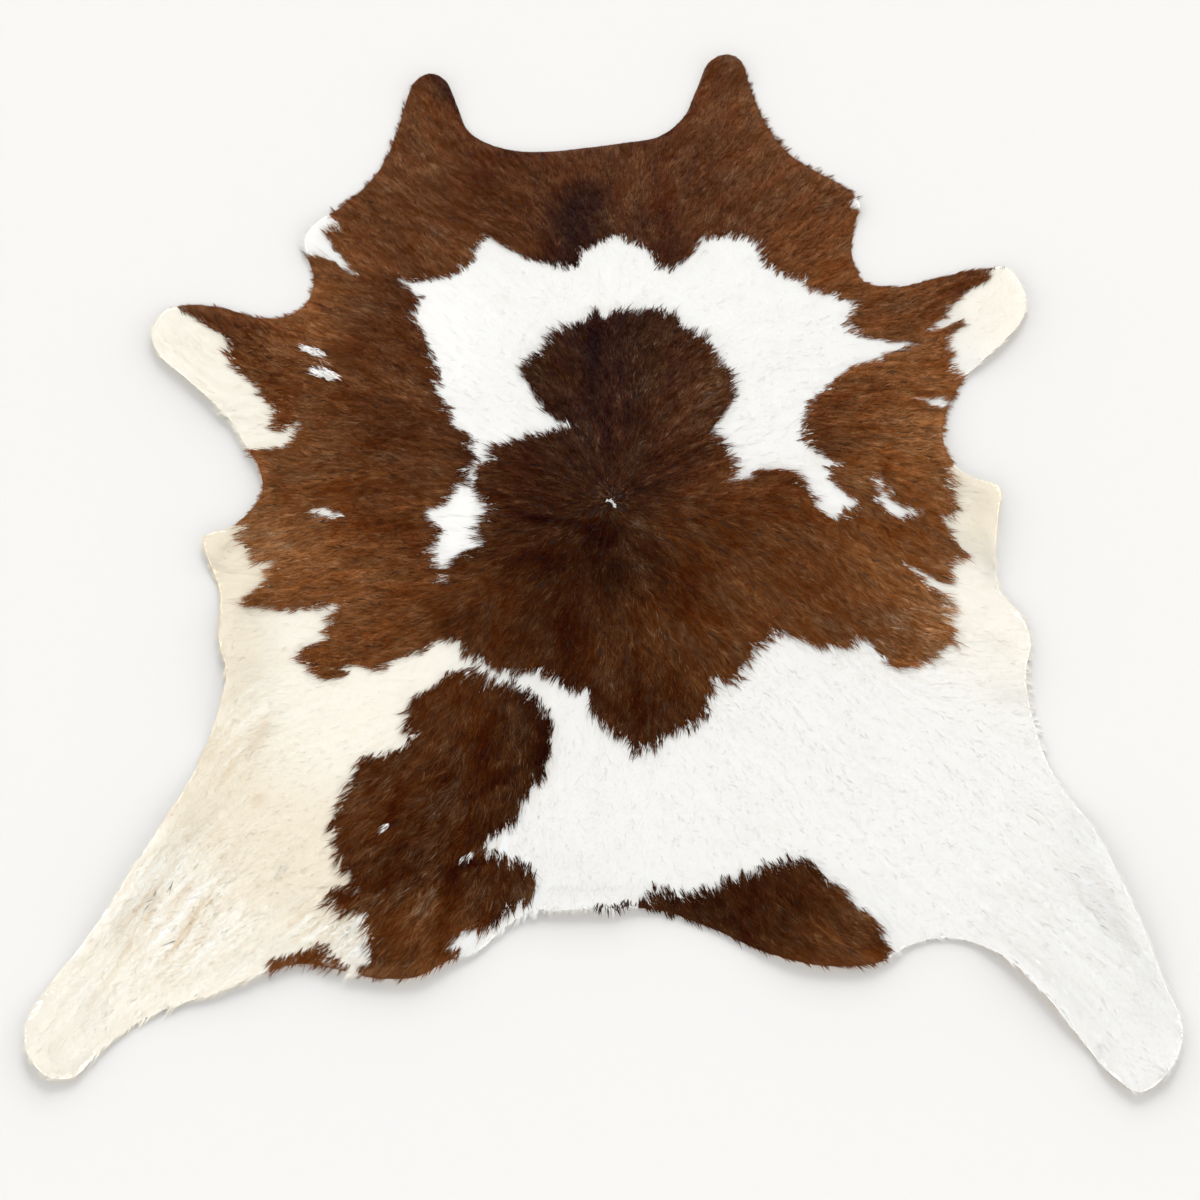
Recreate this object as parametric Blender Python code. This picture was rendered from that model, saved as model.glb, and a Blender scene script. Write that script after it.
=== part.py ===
"""A cowhide rug: one whole tanned hide with its hair on, lying flat on the floor.

The hide is about 2.0 m across the hind legs and 2.36 m from neck to hind feet. Its neck
points along +Y and its hair side faces +Z. The origin is the middle of the floor under it.

The rim is a smooth closed curve through landmarks that anyone can find on a hide: the
neck flaps, the cheeks, the forelegs, the armpits, the belly, the hind legs, the buttocks
and the tail head. Hair locks stand out along the hairy stretches of it. The leather lies
on the floor everywhere except where an edge or a leg curls up a little, and the hair adds
a soft thickness on top that runs out towards the rim.
"""

import math

import bpy
import numpy as np
from mathutils import Vector
from mathutils.geometry import delaunay_2d_cdt

CM = 0.01
MM = 0.001

# Driving dimensions, in metres.
LEATHER = 3.0 * MM          # tanned skin, with the roots of the hair
PILE = 4.0 * MM             # depth of the coat lying on it, in the middle of the hide
PILE_EDGE = 30.0 * MM       # the coat thins out over this distance from the rim
RIM_STEP = 11.0 * MM        # distance between two points of the rim
RING_INSET = 20.0 * MM      # a ring of points inside the rim, where the coat rounds off
GRID_STEP = 54.0 * MM       # distance between two points inside the hide
GRID_CLEAR = 0.62           # grid points keep this share of a step away from the ring

HAIR_COLOUR = (0.115, 0.040, 0.014)
HAIR_ROUGHNESS = 0.55

# The rim, clockwise from the middle of the neck edge, in centimetres from the middle of
# the hide, where its whorl of hair is. Each row is one stretch: its name, how far its
# hair locks stand out in millimetres, and the landmarks that its curve passes through.
RIM = (
    ("neck edge, right half", 0, ((-5, 91.1), (4, 92.6), (12, 94.5), (17.5, 100))),
    ("right neck flap", 0, ((20.5, 108), (23.6, 115.8), (27.5, 118), (30.3, 116.6))),
    ("right neck", 8, ((32.6, 108), (35.3, 98.5), (40.3, 89.5), (47, 83.8), (52, 80), (54.8, 75.2))),
    ("right shoulder", 2, ((53.2, 69), (52.5, 61), (54.8, 54.6), (61, 53.2), (71, 55.9))),
    ("right foreleg", 3, ((80, 58), (84.6, 58), (87.7, 52.5), (87.2, 45.6), (82, 38.5), (74, 30.4))),
    ("right armpit", 5, ((70, 23.5), (68, 15.5), (69.6, 9))),
    ("right belly", 1, ((73.4, 5.6), (78.2, 3.3), (77.3, -3.5), (76, -13), (76.5, -20.8))),
    ("right flank", 8, ((79.8, -25.5), (81, -31), (79.4, -38.5), (80.3, -50))),
    ("right thigh", 2, ((83, -60), (88.5, -69.3), (93.5, -83), (97.6, -98))),
    ("right hind foot", 2, ((99.8, -106.7), (97, -113.7), (91, -118), (86.9, -115.3))),
    ("right hind leg", 1, ((82.9, -110), (79.5, -105), (73.5, -97.1), (67.3, -92.1), (60, -90.2))),
    ("right buttock, outer half", 4, ((53.6, -91.7), (48.5, -94.8), (38.5, -95.6))),
    ("right buttock, inner half", 4, ((28.5, -93.1), (19, -88.5), (10, -85.2))),
    ("tail head", 6, ((2, -84.8), (-7, -85.3), (-13, -85.4), (-18, -88.5))),
    ("left buttock", 4, ((-22.3, -92.6), (-28, -94.8), (-33, -97.6), (-40.5, -97.8))),
    ("left hind leg", 8, ((-47.5, -96.1), (-53, -95.1), (-59, -96.5), (-67, -100), (-79, -104.4))),
    ("left hind foot", 2, ((-87, -110.5), (-90.6, -115.2), (-95, -115.5), (-99.2, -111.5))),
    ("left thigh", 1, ((-100.2, -105.5), (-97.5, -99.5), (-90.8, -89), (-82.5, -72.8), (-76, -59))),
    ("left flank", 2, ((-72.4, -47), (-71.4, -38), (-73.3, -31.5), (-74.2, -20.5))),
    ("left belly", 2, ((-78.2, -8.2), (-73.8, -6.2), (-70, -2), (-67.9, 2), (-69, 8.2))),
    ("left armpit", 4, ((-71.8, 13), (-76.5, 20.5))),
    ("left foreleg", 1, ((-85, 29), (-92, 36), (-93.6, 41.5), (-91.3, 47), (-86.5, 48.6))),
    ("left shoulder", 6, ((-79, 47.5), (-69.5, 44.9), (-63.3, 47.6), (-61, 54.3), (-62.8, 61))),
    ("left cheek", 8, ((-63.7, 66), (-61, 70.6), (-56.5, 74.8))),
    ("left neck", 5, ((-51.5, 80.5), (-48, 87), (-45.4, 96), (-44, 104))),
    ("left neck flap", 0, ((-42, 110.3), (-38.8, 112.4), (-35.6, 110.6), (-32.5, 103), (-30, 96.2))),
    ("neck edge, left half", 0, ((-26, 92.7), (-19.5, 90.4), (-12, 90.2))),
)
LOCK_BEATS = (1.0, 0.45, 0.8, 0.3, 0.9, 0.6, 0.15)   # sizes of the locks, one after another

# Where the leather leaves the floor: soft ridges, as long and as wide as an edge that has
# kept the curl of the leg it came from. The places and sizes are in centimetres, the
# heading of each ridge in degrees from +X, and its height in millimetres.
LIFT_COLUMNS = ("x", "y", "heading", "length", "width", "height")
LIFTS = {
    "right neck flap": (27, 115, 105, 9, 7, 6),
    "left neck flap": (-39, 108, 100, 10, 7, 5),
    "right cheek": (54, 75, 120, 7, 5, 4),
    "left cheek": (-62, 67, 70, 8, 5, 5),
    "right foreleg, lower edge": (83, 42, 50, 17, 6, 7),
    "right foreleg, foot": (86, 55, 100, 7, 5, 5),
    "left foreleg, lower edge": (-85, 31, 135, 20, 6, 8),
    "left foreleg, crease": (-77, 27, 130, 16, 3, 3),
    "left foreleg, foot": (-92, 43, 90, 7, 5, 5),
    "right belly edge": (77, -6, 96, 17, 5, 8),
    "right flank roll": (78, -33, 95, 14, 5, 5),
    "left belly corner": (-77, -9, 100, 8, 5, 6),
    "left flank roll": (-72, -35, 92, 20, 5, 8),
    "left flank crease": (-66, -47, 76, 15, 3, 4),
    "left thigh edge": (-84, -76, 63, 24, 6, 7),
    "left hind foot": (-96, -110, 60, 12, 8, 7),
    "right thigh edge": (93, -82, 107, 24, 5, 6),
    "right hind foot": (93, -113, 40, 12, 8, 7),
    "right hind leg, inner edge": (75, -99, 128, 15, 5, 5),
    "right buttock": (40, -94, 178, 16, 5, 5),
    "left buttock": (-36, -96, 180, 16, 5, 6),
    "tail head": (-4, -85, 0, 14, 4, 3),
}
# Where the coat is deeper or shallower than elsewhere, in the same units.
COAT = {
    "crest of the neck": (-4, 70, 92, 36, 7, 1.2),
    "spine": (3, -45, 88, 55, 8, 1.0),
    "whorl": (1.3, 0.2, 0, 7, 7, -1.8),
    "left thigh": (-30, -70, 70, 34, 20, 0.8),
}


def landmarks():
    """The rim's landmarks in metres, and the lock length at each, one after another."""
    points = [point for _, _, stretch in RIM for point in stretch]
    locks = [lock for _, lock, stretch in RIM for _ in stretch]
    return np.array(points, float) * CM, np.array(locks, float) * MM


def closed_curve(points, values, step):
    """A smooth closed curve through the points, with a point about every step.

    Each span is a centripetal Catmull-Rom curve, which neither loops nor overshoots at a
    sharp landmark. The values are blended along each span.
    """
    curve, carried = [], []
    for i in range(len(points)):
        a, b, c, d = (points[(i + k) % len(points)] for k in (-1, 0, 1, 2))
        count = max(1, round(float(np.linalg.norm(c - b)) / step))
        ta = 0.0
        tb = ta + math.sqrt(np.linalg.norm(b - a))
        tc = tb + math.sqrt(np.linalg.norm(c - b))
        td = tc + math.sqrt(np.linalg.norm(d - c))
        for k in range(count):
            t = tb + (tc - tb) * k / count
            ab = a + (b - a) * (t - ta) / (tb - ta)
            bc = b + (c - b) * (t - tb) / (tc - tb)
            cd = c + (d - c) * (t - tc) / (td - tc)
            abc = ab + (bc - ab) * (t - ta) / (tc - ta)
            bcd = bc + (cd - bc) * (t - tb) / (td - tb)
            curve.append(abc + (bcd - abc) * (t - tb) / (tc - tb))
            after = values[(i + 1) % len(points)]
            carried.append(values[i] + (after - values[i]) * k / count)
    return np.array(curve), np.array(carried)


def outward(curve):
    """The outward direction at each point of a clockwise closed curve."""
    along = np.roll(curve, -1, axis=0) - np.roll(curve, 1, axis=0)
    out = np.stack([-along[:, 1], along[:, 0]], axis=1)
    return out / np.linalg.norm(out, axis=1, keepdims=True)


def with_locks(curve, locks):
    """The rim with every second point pushed out to the tip of a lock of hair."""
    beats = np.array([LOCK_BEATS[(i // 2) % len(LOCK_BEATS)] for i in range(len(curve))])
    tips = (np.arange(len(curve)) % 2 == 1) * beats * locks
    return curve + outward(curve) * tips[:, None]


def distance_to(curve, points):
    """How far each point is from a closed curve."""
    start, end = curve, np.roll(curve, -1, axis=0)
    span = end - start
    nearest = np.full(len(points), np.inf)
    for a, ab in zip(start, span):
        share = np.clip((points - a) @ ab / (ab @ ab), 0.0, 1.0)
        nearest = np.minimum(nearest, np.linalg.norm(points - a - share[:, None] * ab, axis=1))
    return nearest


def inside(curve, points):
    """Which points lie inside a closed curve, by counting crossings."""
    found = np.zeros(len(points), bool)
    for a, b in zip(curve, np.roll(curve, -1, axis=0)):
        if a[1] == b[1]:
            continue
        spans = (a[1] > points[:, 1]) != (b[1] > points[:, 1])
        crossing = a[0] + (points[:, 1] - a[1]) * (b[0] - a[0]) / (b[1] - a[1])
        found ^= spans & (points[:, 0] < crossing)
    return found


def ring_inside(curve):
    """Every second point of the rim, moved inwards, where that stays clear of the rim."""
    ring = (curve - outward(curve) * RING_INSET)[::2]
    clear = inside(curve, ring) & (distance_to(curve, ring) > 0.9 * RING_INSET)
    return ring[clear]


def grid_inside(curve):
    """A grid of equal triangles' corners, in the part of the hide inside the ring."""
    low, high = curve.min(axis=0), curve.max(axis=0)
    row_step = GRID_STEP * math.sqrt(3) / 2
    rows = np.arange(low[1], high[1], row_step)
    columns = np.arange(low[0], high[0], GRID_STEP)
    points = np.array([(x + GRID_STEP / 2 * (i % 2), y) for i, y in enumerate(rows) for x in columns])
    clear = RING_INSET + GRID_CLEAR * GRID_STEP
    return points[inside(curve, points) & (distance_to(curve, points) > clear)]


def ridges(table, points):
    """The sum of a table's soft ridges at each point, in metres."""
    height = np.zeros(len(points))
    for row in table.values():
        ridge = dict(zip(LIFT_COLUMNS, row))
        turn = math.radians(ridge["heading"])
        from_middle = points - np.array([ridge["x"], ridge["y"]]) * CM
        along = from_middle @ (math.cos(turn), math.sin(turn)) / (ridge["length"] * CM)
        across = from_middle @ (-math.sin(turn), math.cos(turn)) / (ridge["width"] * CM)
        reach = np.clip(1.0 - along**2 - across**2, 0.0, 1.0)
        height += ridge["height"] * MM * reach**2 * (3.0 - 2.0 * reach)
    return height


def make_hide():
    """The hide: its underside as a mesh, thickened upwards by leather and hair."""
    smooth_rim, locks = closed_curve(*landmarks(), RIM_STEP)
    if len(smooth_rim) % 2:
        smooth_rim, locks = smooth_rim[:-1], locks[:-1]
    rim = with_locks(smooth_rim, locks)
    points = np.concatenate([rim, ring_inside(smooth_rim), grid_inside(smooth_rim)])
    edges = [(i, (i + 1) % len(rim)) for i in range(len(rim))]
    flat, _, faces, *_ = delaunay_2d_cdt([Vector(p) for p in points], edges, [], 1, 1e-6)
    flat = np.array([tuple(p) for p in flat])
    height = ridges(LIFTS, flat)

    towards_rim = np.clip(distance_to(smooth_rim, flat) / PILE_EDGE, 0.0, 1.0)
    rounded = towards_rim * (2.0 - towards_rim)
    coat = (PILE + ridges(COAT, flat)) * rounded
    thickness = LEATHER + coat

    middle = (rim.min(axis=0) + rim.max(axis=0)) / 2
    corners = np.column_stack([flat - middle, height])
    mesh = bpy.data.meshes.new("hide")
    mesh.from_pydata(corners.tolist(), [], [tuple(face) for face in faces])
    hide = bpy.data.objects.new("hide", mesh)
    bpy.context.scene.collection.objects.link(hide)
    if sum(polygon.normal.z for polygon in mesh.polygons) < 0:
        mesh.flip_normals()

    depth = hide.vertex_groups.new(name="depth")
    deepest = float(thickness.max())
    for i, share in enumerate(thickness / deepest):
        depth.add([i], float(share), "REPLACE")
    solid = hide.modifiers.new("leather and coat", "SOLIDIFY")
    solid.thickness = deepest
    solid.offset = 1.0
    solid.vertex_group = depth.name
    mesh.shade_smooth()
    mesh.materials.append(hair_on_leather())
    return hide


def hair_on_leather():
    material = bpy.data.materials.new("hair on leather")
    material.use_nodes = True
    shader = material.node_tree.nodes["Principled BSDF"]
    shader.inputs["Base Color"].default_value = (*HAIR_COLOUR, 1.0)
    shader.inputs["Roughness"].default_value = HAIR_ROUGHNESS
    shader.inputs["Metallic"].default_value = 0.0
    return material


for old in list(bpy.data.objects):
    bpy.data.objects.remove(old)
make_hide()
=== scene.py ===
# %% [markdown]
# # A brown and white cowhide rug
#
# A cowhide rug is a whole tanned hide with its hair left on, laid flat on the floor. Its
# solid model already has the right outline, thickness and curled edges. This lesson gives
# it what that model leaves out: a thin leather sheet, and a coat of real hair that grows
# in the directions it grows on a cow, brown in some patches and white in others.

# %% Load the solid model
import math
import bpy
import numpy as np
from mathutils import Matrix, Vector
from mathutils.bvhtree import BVHTree
from mathutils.geometry import delaunay_2d_cdt


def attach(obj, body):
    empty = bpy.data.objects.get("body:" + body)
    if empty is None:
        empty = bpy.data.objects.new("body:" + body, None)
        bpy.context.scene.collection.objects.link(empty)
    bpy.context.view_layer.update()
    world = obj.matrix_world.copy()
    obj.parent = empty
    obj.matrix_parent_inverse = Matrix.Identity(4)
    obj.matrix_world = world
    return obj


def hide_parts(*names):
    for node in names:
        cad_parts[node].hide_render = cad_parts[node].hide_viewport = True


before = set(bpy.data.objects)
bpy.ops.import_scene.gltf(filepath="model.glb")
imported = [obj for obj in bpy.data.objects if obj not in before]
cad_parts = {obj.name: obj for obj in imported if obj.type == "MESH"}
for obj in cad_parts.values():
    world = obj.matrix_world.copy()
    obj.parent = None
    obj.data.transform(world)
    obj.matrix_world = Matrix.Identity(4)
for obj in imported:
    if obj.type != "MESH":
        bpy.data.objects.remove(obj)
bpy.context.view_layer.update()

CM = 0.01
MM = 0.001

# %% [markdown]
# ## The camera
#
# A camera in Blender looks along its own -Z axis, so it is aimed by turning that axis
# towards a target. The rug is seen from the hind end, from about four metres away and
# well above the floor. A long lens keeps the far neck from looking much smaller than the
# near feet. The camera comes first, so that every later step can be looked at.

# %% Aim the camera
EYE_TARGET = Vector((-0.0074, -0.2167, 0.0))
EYE_DISTANCE = 4.05
EYE_ELEVATION = math.radians(61.0)
EYE_LENS = 63.0

camera = bpy.data.objects.new("camera", bpy.data.cameras.new("camera"))
bpy.context.scene.collection.objects.link(camera)
camera.data.lens = EYE_LENS
camera.data.sensor_width = 36.0
back = Vector((0.0, -math.cos(EYE_ELEVATION), math.sin(EYE_ELEVATION)))
camera.location = EYE_TARGET + EYE_DISTANCE * back
camera.rotation_euler = (math.pi / 2 - EYE_ELEVATION, 0.0, 0.0)
bpy.context.scene.camera = camera
print("camera at", np.round(camera.location, 3).tolist())

# %% [markdown]
# ## The outline
#
# A hide has no straight edges and no two alike, but its outline always passes the same
# landmarks: neck, cheeks, forelegs, armpits, belly, flanks, hind legs, buttocks and the
# tail head. The table gives each stretch with its landmarks in centimetres from the whorl
# of hair on the back, and how far the hair hangs over the leather's edge there. Shears
# leave no overhang on the neck edge, and the soft sides have the longest one.

# %% The landmarks of the rim
ORIGIN_SHIFT = np.array([0.21, 0.08])   # from the whorl's own frame to the model's, in cm

# Each stretch: its name, the overhang of its hair in millimetres, and its landmarks.
RIM = (
    ("neck edge, right half", 0, ((-5, 91.1), (4, 92.6), (12, 94.5), (17.5, 100))),
    ("right neck flap", 1, ((20.5, 108), (23.6, 115.8), (27.5, 118), (30.3, 116.6))),
    ("right neck", 8, (
        (32.6, 108), (35.3, 98.5), (40.3, 89.5), (47, 83.8), (52, 80), (54.8, 75.2),
    )),
    ("right shoulder", 3, ((53.2, 69), (52.5, 61), (54.8, 54.6), (61, 53.2), (71, 55.9))),
    ("right foreleg", 4, (
        (80, 58), (84.6, 58), (87.7, 52.5), (87.2, 45.6), (82, 38.5), (74, 30.4),
    )),
    ("right armpit", 6, ((70, 23.5), (68, 15.5), (69.6, 9))),
    ("right belly", 3, ((73.4, 5.6), (78.2, 3.3), (77.3, -3.5), (76, -13), (76.5, -20.8))),
    ("right flank", 8, ((79.8, -25.5), (81, -31), (79.4, -38.5), (80.3, -50))),
    ("right thigh", 4, ((83, -60), (88.5, -69.3), (93.5, -83), (97.6, -98))),
    ("right hind foot", 3, ((99.8, -106.7), (97, -113.7), (91, -118), (86.9, -115.3))),
    ("right hind leg", 3, ((82.9, -110), (79.5, -105), (73.5, -97.1), (67.3, -92.1), (60, -90.2))),
    ("right buttock, outer half", 5, ((53.6, -91.7), (48.5, -94.8), (38.5, -95.6))),
    ("right buttock, inner half", 5, ((28.5, -93.1), (19, -88.5), (10, -85.2))),
    ("tail head", 7, ((2, -84.8), (-7, -85.3), (-13, -85.4), (-18, -88.5))),
    ("left buttock", 5, ((-22.3, -92.6), (-28, -94.8), (-33, -97.6), (-40.5, -97.8))),
    ("left hind leg", 12, ((-47.5, -96.1), (-53, -95.1), (-59, -96.5), (-67, -100), (-79, -104.4))),
    ("left hind foot", 3, ((-87, -110.5), (-90.6, -115.2), (-95, -115.5), (-99.2, -111.5))),
    ("left thigh", 3, ((-100.2, -105.5), (-97.5, -99.5), (-90.8, -89), (-82.5, -72.8), (-76, -59))),
    ("left flank", 3, ((-72.4, -47), (-71.4, -38), (-73.3, -31.5), (-74.2, -20.5))),
    ("left belly", 4, ((-78.2, -8.2), (-73.8, -6.2), (-70, -2), (-67.9, 2), (-69, 8.2))),
    ("left armpit", 9, ((-71.8, 13), (-76.5, 20.5))),
    ("left foreleg", 3, ((-85, 29), (-92, 36), (-93.6, 41.5), (-91.3, 47), (-86.5, 48.6))),
    ("left shoulder", 6, ((-79, 47.5), (-69.5, 44.9), (-63.3, 47.6), (-61, 54.3), (-62.8, 61))),
    ("left cheek", 8, ((-63.7, 66), (-61, 70.6), (-56.5, 74.8))),
    ("left neck", 6, ((-51.5, 80.5), (-48, 87), (-45.4, 96), (-44, 104))),
    ("left neck flap", 1, (
        (-42, 110.3), (-38.8, 112.4), (-35.6, 110.6), (-32.5, 103), (-30, 96.2),
    )),
    ("neck edge, left half", 0, ((-26, 92.7), (-19.5, 90.4), (-12, 90.2))),
)
print(len(RIM), "stretches of rim,", sum(len(row[2]) for row in RIM), "landmarks")

# %% [markdown]
# The points are joined by a curve that passes through each of them, which is easier to
# correct by eye than the handles of a Bezier curve. A Catmull-Rom curve does that, and its
# centripetal form makes no loops where points are crowded. The same pass blends the
# overhang from one landmark to the next.

# %% Join the landmarks
RIM_STEP = 4.0 * MM


def placed(points_cm):
    """Points in centimetres from the whorl, as metres in the model's frame."""
    return (np.asarray(points_cm, float) + ORIGIN_SHIFT) * CM


def through(points, values, step):
    """A smooth closed curve through the points (centripetal Catmull-Rom), with the values
    blended along it."""
    curve, carried = [], []
    for i in range(len(points)):
        a, b, c, d = (points[(i + k) % len(points)] for k in (-1, 0, 1, 2))
        ta = 0.0
        tb = ta + math.sqrt(np.linalg.norm(b - a))
        tc = tb + math.sqrt(np.linalg.norm(c - b))
        td = tc + math.sqrt(np.linalg.norm(d - c))
        share = np.arange(max(1, round(float(np.linalg.norm(c - b)) / step)))[:, None]
        share = share / len(share)
        t = tb + (tc - tb) * share
        ab = a + (b - a) * (t - ta) / (tb - ta)
        bc = b + (c - b) * (t - tb) / (tc - tb)
        cd = c + (d - c) * (t - tc) / (td - tc)
        abc = ab + (bc - ab) * (t - ta) / (tc - ta)
        bcd = bc + (cd - bc) * (t - tb) / (td - tb)
        curve.append(abc + (bcd - abc) * (t - tb) / (tc - tb))
        after = values[(i + 1) % len(points)]
        carried.append(values[i] + (after - values[i]) * share[:, 0])
    return np.concatenate(curve), np.concatenate(carried)


rim, rim_overhang = through(
    placed([point for row in RIM for point in row[2]]),
    np.array([row[1] for row in RIM for _ in row[2]], float) * MM,
    RIM_STEP,
)

# %% [markdown]
# ## Charts: maps laid over the hide
#
# Many steps ask the same questions of thousands of places at once: is this inside a
# patch, how far is the rim, which way does the hair grow? A **chart** answers them. It is
# a grid of numbers over the floor plan, worked out once and then read anywhere between
# its points. This is quicker and simpler than testing every hair against every curve.

# %% Lay out and read a chart
CHART_LOW = np.array([-1.05, -1.23])
CHART_HIGH = np.array([1.05, 1.23])
FINE = 2.5 * MM      # for borders and distances
COARSE = 20.0 * MM   # for slow changes


def chart_lines(step):
    """The x of each column and the y of each row of a chart."""
    return (np.arange(CHART_LOW[k], CHART_HIGH[k], step) for k in (0, 1))


def read(chart, step, at):
    """The chart's values at these places, blended between its four nearest points."""
    most = np.array([chart.shape[1], chart.shape[0]]) - 1.001
    spot = np.clip((at - CHART_LOW) / step, 0, most)
    low = spot.astype(int)
    (x, y), (fx, fy) = low.T, (spot - low).T
    if chart.ndim == 3:
        fx, fy = fx[:, None], fy[:, None]
    below = chart[y, x] * (1 - fx) + chart[y, x + 1] * fx
    above = chart[y + 1, x] * (1 - fx) + chart[y + 1, x + 1] * fx
    return below * (1 - fy) + above * fy


def filled(outline):
    """A fine chart that is True inside a closed outline in metres. Each edge flips every
    place to its right, so a place inside has been flipped an odd number of times."""
    xs, ys = chart_lines(FINE)
    flips = np.zeros((len(ys), len(xs)), np.int32)
    for (ax, ay), (bx, by) in zip(outline, np.roll(outline, -1, axis=0)):
        if ay > by:
            ax, ay, bx, by = bx, by, ax, ay
        rows = np.nonzero((ys >= ay) & (ys < by))[0]
        if len(rows):
            crossing = ax + (ys[rows] - ay) * (bx - ax) / (by - ay)
            columns = np.ceil((crossing - CHART_LOW[0]) / FINE).astype(int)
            kept = columns < len(xs)
            np.add.at(flips, (rows[kept], np.maximum(columns[kept], 0)), 1)
    return np.cumsum(flips, axis=1) % 2 == 1


hide_chart = filled(rim)
print("chart of", hide_chart.shape, "places,", int(hide_chart.sum()), "on the hide")

# %% [markdown]
# The distance to the rim is only needed close to it, because that is where the hair is
# trimmed and the coat thins out. Each short piece of the rim therefore only visits the
# places around it, which takes a moment where a full search would take minutes.

# %% Chart the distance to the rim
RIM_BAND = 40.0 * MM


def chart_rim_distance():
    """Charts of the distance into the hide (negative outside) and of the overhang."""
    xs, ys = chart_lines(FINE)
    away = np.full(hide_chart.shape, RIM_BAND)
    overhang = np.zeros(hide_chart.shape)
    for a, b, hang in zip(rim, np.roll(rim, -1, axis=0), rim_overhang):
        left, right = np.searchsorted(xs, (a[0] - RIM_BAND, a[0] + RIM_BAND))
        low, high = np.searchsorted(ys, (a[1] - RIM_BAND, a[1] + RIM_BAND))
        px, py = np.meshgrid(xs[left:right] - a[0], ys[low:high] - a[1])
        abx, aby = b - a
        share = np.clip((px * abx + py * aby) / (abx**2 + aby**2), 0.0, 1.0)
        found = np.hypot(px - share * abx, py - share * aby)
        window = (slice(low, high), slice(left, right))
        nearer = found < away[window]
        away[window][nearer] = found[nearer]
        overhang[window][nearer] = hang
    return np.where(hide_chart, away, -away), overhang


depth_chart, overhang_chart = chart_rim_distance()
print("deepest charted place:", round(float(depth_chart.max()) / MM), "mm inside the rim")

# %% [markdown]
# ## Where the leather lies
#
# The solid model curls up a little at the legs, the flanks and the neck flaps. Rays shot
# straight up from below the floor find its underside, and the leather sheet and the hair
# are then built on those heights, so that they always fit the solid.

# %% Chart the height of the leather
HEIGHT_STEP = 10.0 * MM
LEATHER_THICKNESS = 2.4 * MM


def chart_underside():
    """The height of the solid's underside, carried on past its rim."""
    solid = BVHTree.FromObject(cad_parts["hide"], bpy.context.evaluated_depsgraph_get())
    xs, ys = chart_lines(HEIGHT_STEP)
    heights = np.full((len(ys), len(xs)), np.nan)
    up = Vector((0.0, 0.0, 1.0))
    for j, y in enumerate(ys):
        for i, x in enumerate(xs):
            hit = solid.ray_cast(Vector((x, y, -0.1)), up)[0]
            if hit is not None:
                heights[j, i] = max(hit.z, 0.0)
    for _ in range(6):   # each pass carries the heights one step further out
        padded = np.pad(heights, 1, constant_values=np.nan)
        around = [padded[1 + dy : padded.shape[0] - 1 + dy, 1 + dx : padded.shape[1] - 1 + dx]
                  for dy in (-1, 0, 1) for dx in (-1, 0, 1)]
        count = np.sum([~np.isnan(a) for a in around], axis=0)
        mean = np.nansum(around, axis=0) / np.maximum(count, 1)
        heights = np.where(np.isnan(heights) & (count > 0), mean, heights)
    return np.nan_to_num(heights)


underside_chart = chart_underside()
print("the leather lifts up to", round(float(underside_chart.max()) / MM, 1), "mm")

# %% [markdown]
# A hide never lies quite flat. Here and there its rim stands a few millimetres clear of the
# floor, which shows only as a darker shadow beside it. These small lifts are too slight for
# the solid model, so they are added to the chart, and fade out away from the rim.

# %% Lift the rim a little
LIFT_WIDTH = 60.0 * MM
# Each lift: its name, x, y and reach in centimetres, and its height in millimetres.
LIFTS = (
    ("left armpit", -70, 10, 9, 6.0), ("right armpit", 69, 14, 8, 5.0),
    ("left hind leg", -60, -96, 12, 6.0), ("left buttock", -30, -95, 12, 3.0),
    ("tail head", -4, -85, 12, 5.0), ("right buttock", 40, -95, 16, 3.0),
    ("right hind leg", 75, -100, 12, 4.0), ("left hind foot", -92, -113, 8, 3.0),
)


def lift_rim():
    """The underside chart with the lifts added near the rim."""
    xs, ys = chart_lines(HEIGHT_STEP)
    places = np.stack(np.meshgrid(xs, ys), axis=-1)
    near = np.clip(1 - read(depth_chart, FINE, places.reshape(-1, 2)) / LIFT_WIDTH, 0, 1)
    near = (near * near * (3 - 2 * near)).reshape(len(ys), len(xs))
    extra = np.zeros(near.shape)
    for _, x, y, reach, height in LIFTS:
        gap = np.linalg.norm(places - placed((x, y)), axis=2) / (reach * CM)
        extra = np.maximum(extra, height * MM * np.exp(-0.5 * gap**2))
    return underside_chart + extra * near


underside_chart = lift_rim()
print("with the small lifts, up to", round(float(underside_chart.max()) / MM, 1), "mm")

# %% [markdown]
# ## The pattern
#
# A cow's patches have soft outlines on the skin, but the hair over them lies flat and
# crosses the border, so it looks torn into points. Both halves are needed. First the
# patches are laid out as closed outlines, one over another like cut paper: white below,
# then the big brown front, then the white ring and flecks, then the brown patches behind.
# The torn edge comes later, from hair that takes its colour from where it lies.

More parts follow.
